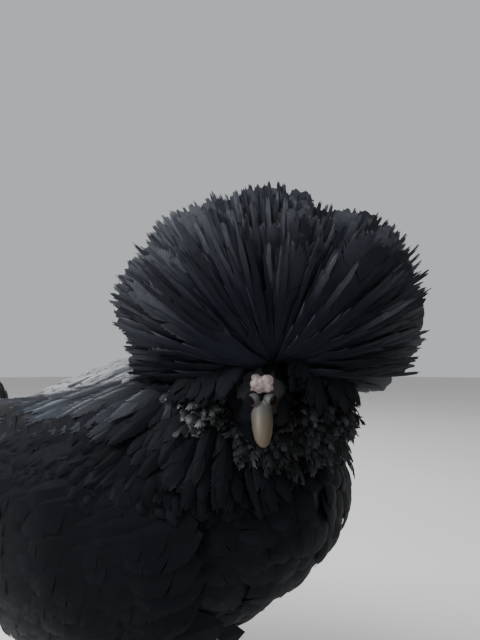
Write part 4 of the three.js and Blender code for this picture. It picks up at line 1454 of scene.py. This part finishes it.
def tail_plan():
    """Tiers of feathers on both sides: the low ones stand on edge, the high ones lie over as a roof."""
    rng = np.random.default_rng(181)
    plans = []
    for side in SIDES.values():
        for tier in TAIL_TIERS:
            n = tier["count"]
            share = np.linspace(0, 1, n)
            rise = (tier["low"] + (tier["high"] - tier["low"]) * share) * DEG
            splay = (SPLAY_LOW - SPLAY_LESS * share) * DEG
            short, long = tier["length"]
            length = short + (long - short) * share + rng.normal(0, 2, n)
            x = side * (tier["out"] + ROOTS_APART * (1 - share))
            back = np.full(n, TAIL_ROOT[1] + tier["start"])
            root = np.stack([x, back, TAIL_ROOT[2] - ROOTS_SINK + ROOTS_RISE * share], -1)
            way = unit(np.stack([side * np.sin(splay), np.cos(rise), np.sin(rise)], -1))
            tip = root + way * length[:, None]
            tilt = (TILT_LOW + TILT_MORE * share) * DEG
            upright = np.sin(tilt)
            out = np.stack([side * np.cos(tilt), -np.sin(rise) * upright, np.cos(rise) * upright], -1)
            bend = (root + tip) / 2 + out * TAIL_ARCH
            plans.append(plan_of(root, bend, tip, out, tier["half"], rng))
    return joined(plans)


tail_coat = grow("tail_feathers", tail_plan(), "flight", "wing_black", 182)

# %% Let the coats stand for their solids
body_coats = (breast_coat, fluff_coat, thigh_coat, hackle_coat, throat_coat, collar_coat, face_coat)
for coat in (*body_coats, brow_coat, wisp_coat):
    dressed(coat, "black_plumage")
dressed(crest_coat, "black_plumage", "crest")
dressed(beard_coat, "black_plumage", "beard")
dressed(tail_coat, "black_plumage", "tail")
for name in SIDES:
    dressed(muff_coats[name], "black_plumage", f"muff_{name}")
    dressed(wing_coats[name], "black_plumage", f"wing_{name}")
    dressed(flank_coats[name], "black_plumage")
print("coats dressed")

# %% [markdown]
# ## Skin, bill and comb
# The skin only shows between feathers and on the face. The bill is horn: two tapered tubes, remeshed
# with the high arches of the nostrils so that they flow into it. The comb is one bumpy lump of pale
# skin: two soft bulbs that run into each other, with small warts on them.

# %% Skin finish
def skin_material():
    """Dark matt skin with a fine grain."""
    finish = Finish("dark_skin", specular_ior_level=0.3)
    grain = finish.noise(400, 4)
    dark = finish.mix(grain, (0.016, 0.017, 0.02), (0.035, 0.034, 0.037))
    finish.set(base_color=dark, roughness=0.75)
    return finish.bump(grain, 0.3, 0.0005)


skin.data.materials.append(skin_material())
dressed(skin, "black_plumage", "torso", "neck", "head", "thigh_left", "thigh_right")
print("skin finished with", skin.data.materials[0].name)

# %% Bill form
BILL_LENGTH = 18.5
BILL_HALF_WIDTH = 6
BILL_HEIGHT = 8
BILL_ROOT = (0, 25, -1)
LOWER_SHORTER = 3.5
GAP = 0.3
BILL_DROP, LOWER_DROP = 9, 6.8
BILL_START = 2.5
UPPER_SHARE, LOWER_HEIGHT, LOWER_SLIMMER = 0.6, 4.6, 0.8
BLUNT = 0.95
NARROWED, NARROW_END = 0.3, 0.35


def bill_form(name, upper):
    """One half of the bill: rings that slim, sink and end blunt towards the tip."""
    length = BILL_LENGTH if upper else BILL_LENGTH - LOWER_SHORTER
    rings = []
    turn = turns_of(28)
    for t in np.linspace(0, 1, 22):
        slim = math.sqrt(1 - t**5 * BLUNT)
        drop = (BILL_DROP if upper else LOWER_DROP) * t**1.7
        neat = 1 - NARROWED * min(t / NARROW_END, 1) ** 0.7
        half = (BILL_HALF_WIDTH if upper else BILL_HALF_WIDTH - LOWER_SLIMMER) * slim * neat
        rise = (BILL_HEIGHT * UPPER_SHARE if upper else 0.0) * slim
        fall = (0.0 if upper else LOWER_HEIGHT) * slim
        edge = np.where(np.cos(turn) > 0, rise, fall)
        seam = BILL_ROOT[2] - drop - (0 if upper else GAP)
        forward = np.full(len(turn), BILL_ROOT[1] - BILL_START + (length + BILL_START) * t)
        ring = np.stack([half * np.sin(turn), forward, seam + edge * np.cos(turn)], -1)
        rings.append(placed(HEAD_FRAME, ring))
    return loft(name, rings)


print("the bill stands", BILL_LENGTH, "mm out of the face")

# %% Nostrils
NOSTRIL_PLACE = (3.1, 28, 2.3)
ARCH_HALF = (2.7, 4.6, 2.6)
HOLE_OFFSET = (1.3, 2.6, 0.3)
HOLE_HALF = np.array((1.8, 3.3, 1.6))
FINE_VOXEL = 0.00032


def nostril_holes():
    """Middles of the two openings, in the frame of the head."""
    out, forward, up = (a + b for a, b in zip(NOSTRIL_PLACE, HOLE_OFFSET))
    return [np.array((side * out, forward, up)) for side in SIDES.values()]


def upper_bill():
    """The upper half with an arch over each nostril, and the two openings cut into it."""
    out, forward, up = NOSTRIL_PLACE
    places = [(side * out, forward, up) for side in SIDES.values()]
    arches = [ball("arch", HEAD_FRAME, place, ARCH_HALF) for place in places]
    form = join_as("bill_upper_horn", [bill_form("bill_form", True), *arches])
    bill = remeshed(form, FINE_VOXEL, 3)
    holes = [ball("hole", HEAD_FRAME, centre, HOLE_HALF, 16, 8) for centre in nostril_holes()]
    for hole in holes:
        cut = bill.modifiers.new("cut", "BOOLEAN")
        cut.operation = "DIFFERENCE"
        cut.object = hole
    evaluated = bill.evaluated_get(bpy.context.evaluated_depsgraph_get())
    mesh = bpy.data.meshes.new_from_object(evaluated)
    bill.modifiers.clear()
    bill.data = mesh
    for hole in holes:
        bpy.data.objects.remove(hole)
    mesh.shade_smooth()
    mark_nostril_shade(mesh)
    return bill


def mark_nostril_shade(mesh):
    """Keeps on each vertex how deep in a nostril it lies, for the painted shade of the nostrils."""
    points = np.empty(len(mesh.vertices) * 3)
    mesh.vertices.foreach_get("co", points)
    turn, centre = HEAD_FRAME
    local = (points.reshape(-1, 3) / MM - SHIFT - centre) @ turn * (1, -1, 1)
    near = np.min([(((local - c) / HOLE_HALF) ** 2).sum(1) for c in nostril_holes()], axis=0)
    layer = mesh.attributes.new("nostril_shade", "FLOAT", "POINT")
    layer.data.foreach_set("value", np.clip(2.6 - 1.6 * near, 0, 1).astype(np.float32))


bill_upper = upper_bill()
bill_lower = remeshed(bill_form("bill_lower_horn", False), FINE_VOXEL, 2)
print("faces of the bill", len(bill_upper.data.polygons), len(bill_lower.data.polygons))

# %% Horn of the bill
BILL_WAY = (0, 0.88, -0.46)
BILL_RUN = 19


def horn_material():
    """Grey horn that turns beige towards the tip, with dark stains, and painted shade in the nostrils."""
    finish = Finish("bill_horn", specular_ior_level=0.3)
    streak = finish.noise(90, 4, stretch=(1, 1, 0.25))
    cloud = finish.noise(60, 2)
    start, way = placed(HEAD_FRAME, BILL_ROOT), aimed(HEAD_FRAME, BILL_WAY)
    down_the_bill = finish.share(start, way, BILL_RUN)
    grey = finish.mix(streak, (0.022, 0.022, 0.021), (0.075, 0.073, 0.068))
    beige = finish.mix(streak, (0.034, 0.026, 0.016), (0.085, 0.065, 0.041))
    pale = finish.mix(down_the_bill.between(0.2, 0.75), grey, beige)
    stained = finish.mix(cloud.between(0.48, 0.7) * 0.6, pale, (0.045, 0.034, 0.027))
    # Deep in the nostrils the horn is darkened: painted shade.
    finish.set(base_color=finish.mix(finish.attribute("nostril_shade"), stained, (0.016, 0.008, 0.006)))
    finish.set(roughness=0.45 + streak * 0.2)
    return finish.bump(streak, 0.3, 0.0006)


HORN = horn_material()
for piece, node in ((bill_upper, "bill_upper"), (bill_lower, "bill_lower")):
    piece.data.materials.append(HORN)
    dressed(piece, "horn", node)
print("bill finished with", HORN.name)

# %% Comb
COMB_PLACE = (2.6, 26, 7.6)
BULB_CLOSER = 0.6
BULB_HALF, WART_RING = (2.5, 3.3, 3.6), (2.0, 2.6, 2.9)
WARTS = 16
WART_HALF = (1.0, 1.6)
COMB_VOXEL = 0.0003


def comb_piece():
    """Two bulbs, each with small warts over its front and top, fused into one lump."""
    rng = np.random.default_rng(191)
    out, forward, up = COMB_PLACE
    bulbs = []
    for side in SIDES.values():
        middle = np.array((side * out * BULB_CLOSER, forward, up))
        bulbs.append(ball("bulb", HEAD_FRAME, middle, BULB_HALF, 16, 10))
        for _ in range(WARTS):
            way = unit(rng.normal(0, 1, 3) + (side * 0.4, 0.5, 0.7))
            half = np.full(3, rng.uniform(*WART_HALF))
            bulbs.append(ball("wart", HEAD_FRAME, middle + way * WART_RING, half, 12, 8))
    return remeshed(join_as("comb_flesh", bulbs), COMB_VOXEL, 2)


def comb_material():
    """Pale flesh that lets a little light in."""
    finish = Finish("comb_flesh", subsurface_weight=0.15, subsurface_scale=0.002, specular_ior_level=0.4)
    cloud = finish.noise(180, 3)
    flesh = finish.mix(cloud, (0.17, 0.12, 0.118), (0.27, 0.22, 0.215))
    finish.set(base_color=flesh, roughness=0.45 + cloud * 0.2)
    return finish.bump(finish.noise(900, 2), 0.4, 0.0004)


comb = comb_piece()
comb.data.materials.append(comb_material())
dressed(comb, "pale_skin", "comb")
print("faces of the comb", len(comb.data.polygons))

# %% [markdown]
# ## Eyes
# An eye is a ball with a coloured ring and a dark pupil under a clear wet layer. The ring is painted
# from the angle between each point of the ball and the way that the eye looks, kept as a number on each
# vertex.

# %% Eyeballs
GAZE_LIFT, GAZE_FORWARD = 0.02, 0.18
EYE_POLE = 0.02
BULGE, BULGE_ANGLE = 0.07, 0.7


def eye_material():
    """A pupil, a bay ring and a dark rim, told apart by the angle to the line of sight."""
    finish = Finish("eye_bay", specular_ior_level=0.6, coat_weight=1.0, coat_roughness=0.02)
    gaze = finish.attribute("gaze")
    iris = finish.mix(finish.noise(700, 3), (0.10, 0.025, 0.010), (0.22, 0.06, 0.02))
    ringed = finish.mix(gaze.between(0.60, 0.72), iris, (0.05, 0.02, 0.012))
    finish.set(base_color=finish.mix(gaze.between(0.30, 0.34), (0.003, 0.003, 0.004), ringed))
    finish.set(roughness=0.12)
    return finish.material


def eye_piece(side):
    """A ball whose poles lie on its line of sight, with a slight bulge at the front."""
    out, forward, up = EYE_PLACE
    axis = unit((side, GAZE_FORWARD, GAZE_LIFT))
    first = unit(np.cross(axis, (0, 0, 1)))
    second = np.cross(axis, first)
    turn = turns_of(32)
    rings, gaze = [], []
    for tilt in np.linspace(EYE_POLE, math.pi - EYE_POLE, 24):
        radius = EYE_RADIUS * (1 + BULGE * math.exp(-((tilt / BULGE_ANGLE) ** 2)))
        ring = np.cos(turn)[:, None] * first + np.sin(turn)[:, None] * second
        ring = ring * math.sin(tilt) + axis * math.cos(tilt)
        rings.append(placed(HEAD_FRAME, ring * radius + np.array((side * out, forward, up))))
        gaze += [tilt] * len(turn)
    piece = loft("eyeball", rings)
    piece.data.attributes.new("gaze", "FLOAT", "POINT").data.foreach_set("value", gaze)
    return piece


EYE_BAY = eye_material()
print("the eyes are finished with", EYE_BAY.name)

# %% Lids, and both in place
LID_WIDE, LID_THICK, LID_OUT = 5.3, 1.2, 2.2


def lid_piece(side):
    """Two thin folds of skin that close to a slanted almond round the eye."""
    out, forward, up = EYE_PLACE
    turn = turns_of(40)
    rings = []
    for a in turns_of(14):
        wide = LID_WIDE + LID_THICK * math.cos(a)
        squeeze = 0.86 - 0.12 * np.abs(np.sin(turn)) ** 2
        x = side * (out + LID_OUT + LID_THICK * math.sin(a) - 0.9 * np.abs(np.cos(turn)))
        ring = np.stack([x, forward + wide * np.cos(turn), up + wide * squeeze * np.sin(turn)], -1)
        rings.append(placed(HEAD_FRAME, ring))
    rings = np.array(rings)
    count = len(rings)
    faces = []
    for r in range(count):
        for s in range(len(turn)):
            a, b = r * len(turn) + s, r * len(turn) + (s + 1) % len(turn)
            c = ((r + 1) % count) * len(turn)
            faces.append((a, b, c + (s + 1) % len(turn), c + s))
    return new_mesh("lid", rings.reshape(-1, 3), faces)


def face_material():
    """Dark red skin of the lids."""
    finish = Finish("face_skin", specular_ior_level=0.35)
    cloud = finish.noise(220, 3)
    flesh = finish.mix(cloud, (0.03, 0.012, 0.012), (0.075, 0.03, 0.028))
    finish.set(base_color=flesh, roughness=0.5 + cloud * 0.2)
    return finish.bump(finish.noise(1400, 2), 0.5, 0.0003)


FACE_SKIN = face_material()
for name, side in SIDES.items():
    eye = eye_piece(side)
    eye.name = f"eyeball_{name}"
    eye.data.materials.append(EYE_BAY)
    dressed(eye, "eye_bay", f"eye_{name}")
    lid = lid_piece(side)
    lid.name = f"lids_{name}"
    lid.data.materials.append(FACE_SKIN)
    dressed(lid, "face_skin")
print("eyes and lids made")

# %% [markdown]
# ## Legs, toes and claws
# The legs are slate coloured and scaled: wide plates down the front of the shank and along the top of
# each toe, and rows of small scales behind. The plates are raised in the mesh itself, each ring of the
# tube a little wider at the lower edge of a plate than at its upper edge, so that they catch the light
# from any side.

# %% Shank
SHANK_PLATES = 17
RINGS_PER_PLATE = 8
SHANK_WIDE, SHANK_DEEP = 6.3, 7.0
WAIST, PLATE_RISE, SMALL_SCALES = 0.2, 0.075, 0.03


def shank_form(side):
    """A tube from the hock to the ankle, with plates in front and small scales behind."""
    start, end = HOCK + (0, 0, 5), ANKLE - (0, 0, 3)
    turn = turns_of(28)
    rings = []
    for t in np.linspace(-0.06, 1, SHANK_PLATES * RINGS_PER_PLATE):
        waist = 1 - WAIST * math.sin(math.pi * min(max(t, 0), 1))
        plate = (t * SHANK_PLATES) % 1
        frontal = np.clip(-np.cos(turn), 0, 1) ** 0.5
        rows = math.sin(t * SHANK_PLATES * 2.4 * math.pi)
        small = SMALL_SCALES * np.sin(turn * 9) * rows * (1 - frontal)
        swell = 1 + PLATE_RISE * plate * frontal + small
        wide, deep = SHANK_WIDE * waist * swell, SHANK_DEEP * waist * swell
        ring = np.stack([wide * np.sin(turn), deep * np.cos(turn), np.zeros(len(turn))], -1)
        rings.append((ring + start + (end - start) * t) * (side, 1, 1))
    return loft("shank_form", rings)


print("shank from", HOCK, "to", ANKLE)

# %% Toes and claws
TOES = [
    dict(name="inner", angle=-26, length=43, half=4.6),
    dict(name="middle", angle=2, length=58, half=5.0),
    dict(name="outer", angle=32, length=47, half=4.6),
    dict(name="hind", angle=172, length=25, half=4.0),
]
TOE_HEIGHT = 9.5
TOE_PLATE = 3.4
KNUCKLE_STEP = 14
CLAW_LENGTH = 11.2
UP = np.array((0, 0, 1))


def toe_frame(side, toe, t):
    """Place, direction, height and half width of a toe at a share of its length."""
    angle = toe["angle"] * DEG
    way = np.array((side * math.sin(angle), -math.cos(angle), 0))
    at = np.array((side * ANKLE[0], ANKLE[1], 0)) + way * toe["length"] * t
    return at, way, TOE_HEIGHT * (1 - 0.35 * t), toe["half"] * (1 - 0.22 * t)


def toe_form(side, toe):
    """A tube that rests on the floor, with knuckles, and plates on top."""
    rings = []
    plates = round(toe["length"] / TOE_PLATE)
    turn = turns_of(20)
    for t in np.linspace(-0.02, 1, plates * 6):
        at, way, high, half = toe_frame(side, toe, t)
        across = np.array((-way[1], way[0], 0))
        plate = (t * plates) % 1
        knuckle = 1 + 0.07 * math.cos(t * toe["length"] / KNUCKLE_STEP * 2 * math.pi)
        top = np.clip(np.cos(turn), 0, 1) ** 0.5
        swell = 1 + 0.08 * plate * top
        if t > 0.97:
            swell = swell * 0.9
        height = high * 0.5 * (1 + np.cos(turn) * knuckle * swell * 0.98)
        height = np.maximum(height, 0.15)
        width = half * knuckle * swell * np.sin(turn)
        rings.append(at + across * width[:, None] + UP * height[:, None])
    return loft("toe_form", rings)


def claw_form(side, toe):
    """A tapered claw that curves down from the end of its toe."""
    at, way, high, half = toe_frame(side, toe, 1)
    across = np.array((-way[1], way[0], 0))
    turn = turns_of(14)
    rings = []
    for t in np.linspace(0, 1, 12):
        size = 1 - 0.9 * t**1.3
        middle = at + way * (0.2 + CLAW_LENGTH * t)
        lift = high * (0.62 - 0.5 * t * t)
        height = np.maximum(lift + high * 0.34 * size * np.cos(turn), 0.2)
        width = half * 0.62 * size * np.sin(turn)
        rings.append(middle + across * width[:, None] + UP * height[:, None])
    return loft("claw_form", rings)


print("toes", [toe["name"] for toe in TOES])

# %% Finishes of the legs
def scale_material():
    """Slate skin with soft clouds, and small cells in its bumps."""
    finish = Finish("slate_scale", specular_ior_level=0.45)
    where = finish.node("TexCoord", {}, {}, "Object")
    cell = finish.node("TexVoronoi", {}, {"Vector": where, "Scale": 700.0})
    cloud = finish.noise(70, 3)
    tone = finish.mix(cloud, (0.018, 0.021, 0.026), (0.052, 0.058, 0.065))
    finish.set(base_color=finish.mix(cell.between(0.0, 0.0006), (0.012, 0.013, 0.015), tone))
    finish.set(roughness=0.45 + cloud * 0.2)
    return finish.bump(cell * 400 + cloud, 0.35, 0.0003)


def claw_material():
    """Pale horn, softly mottled."""
    finish = Finish("claw_horn", specular_ior_level=0.5, coat_weight=0.1)
    streak = finish.noise(200, 3)
    horn = finish.mix(streak, (0.06, 0.052, 0.045), (0.16, 0.14, 0.12))
    finish.set(base_color=horn, roughness=0.35 + streak * 0.2)
    return finish.bump(streak, 0.2, 0.0003)


SLATE_SCALE = scale_material()
CLAW_HORN = claw_material()
print("leg finishes", SLATE_SCALE.name, CLAW_HORN.name)

# %% Legs and claws
PAD_HEIGHT = 7.2
PAD_HALF = (8, 8.6, 7)

for name, side in SIDES.items():
    under_ankle = frame_of((side * ANKLE[0], ANKLE[1], PAD_HEIGHT), 0, 0)
    pad = ball("pad_form", under_ankle, (0, 0, 0), PAD_HALF)
    toes = [toe_form(side, toe) for toe in TOES]
    leg = join_as(f"scaled_leg_{name}", [shank_form(side), pad, *toes])
    leg.data.materials.append(SLATE_SCALE)
    dressed(leg, "slate_scale", f"shank_{name}", f"foot_{name}")
    claws = join_as(f"claws_{name}", [claw_form(side, toe) for toe in TOES])
    claws.data.materials.append(CLAW_HORN)
    dressed(claws, "claw_horn", *[f"claw_{toe['name']}_{name}" for toe in TOES])
print("legs and claws made")

# %% Floor finish
def floor_material():
    """Pale matt ground with faint clouds."""
    finish = Finish("pale_floor")
    cloud = finish.noise(2, 2)
    finish.set(base_color=finish.mix(cloud, (0.60, 0.59, 0.57), (0.66, 0.65, 0.63)), roughness=0.8)
    return finish.material


floor.data.materials.append(floor_material())
print("floor finished with", floor.data.materials[0].name)
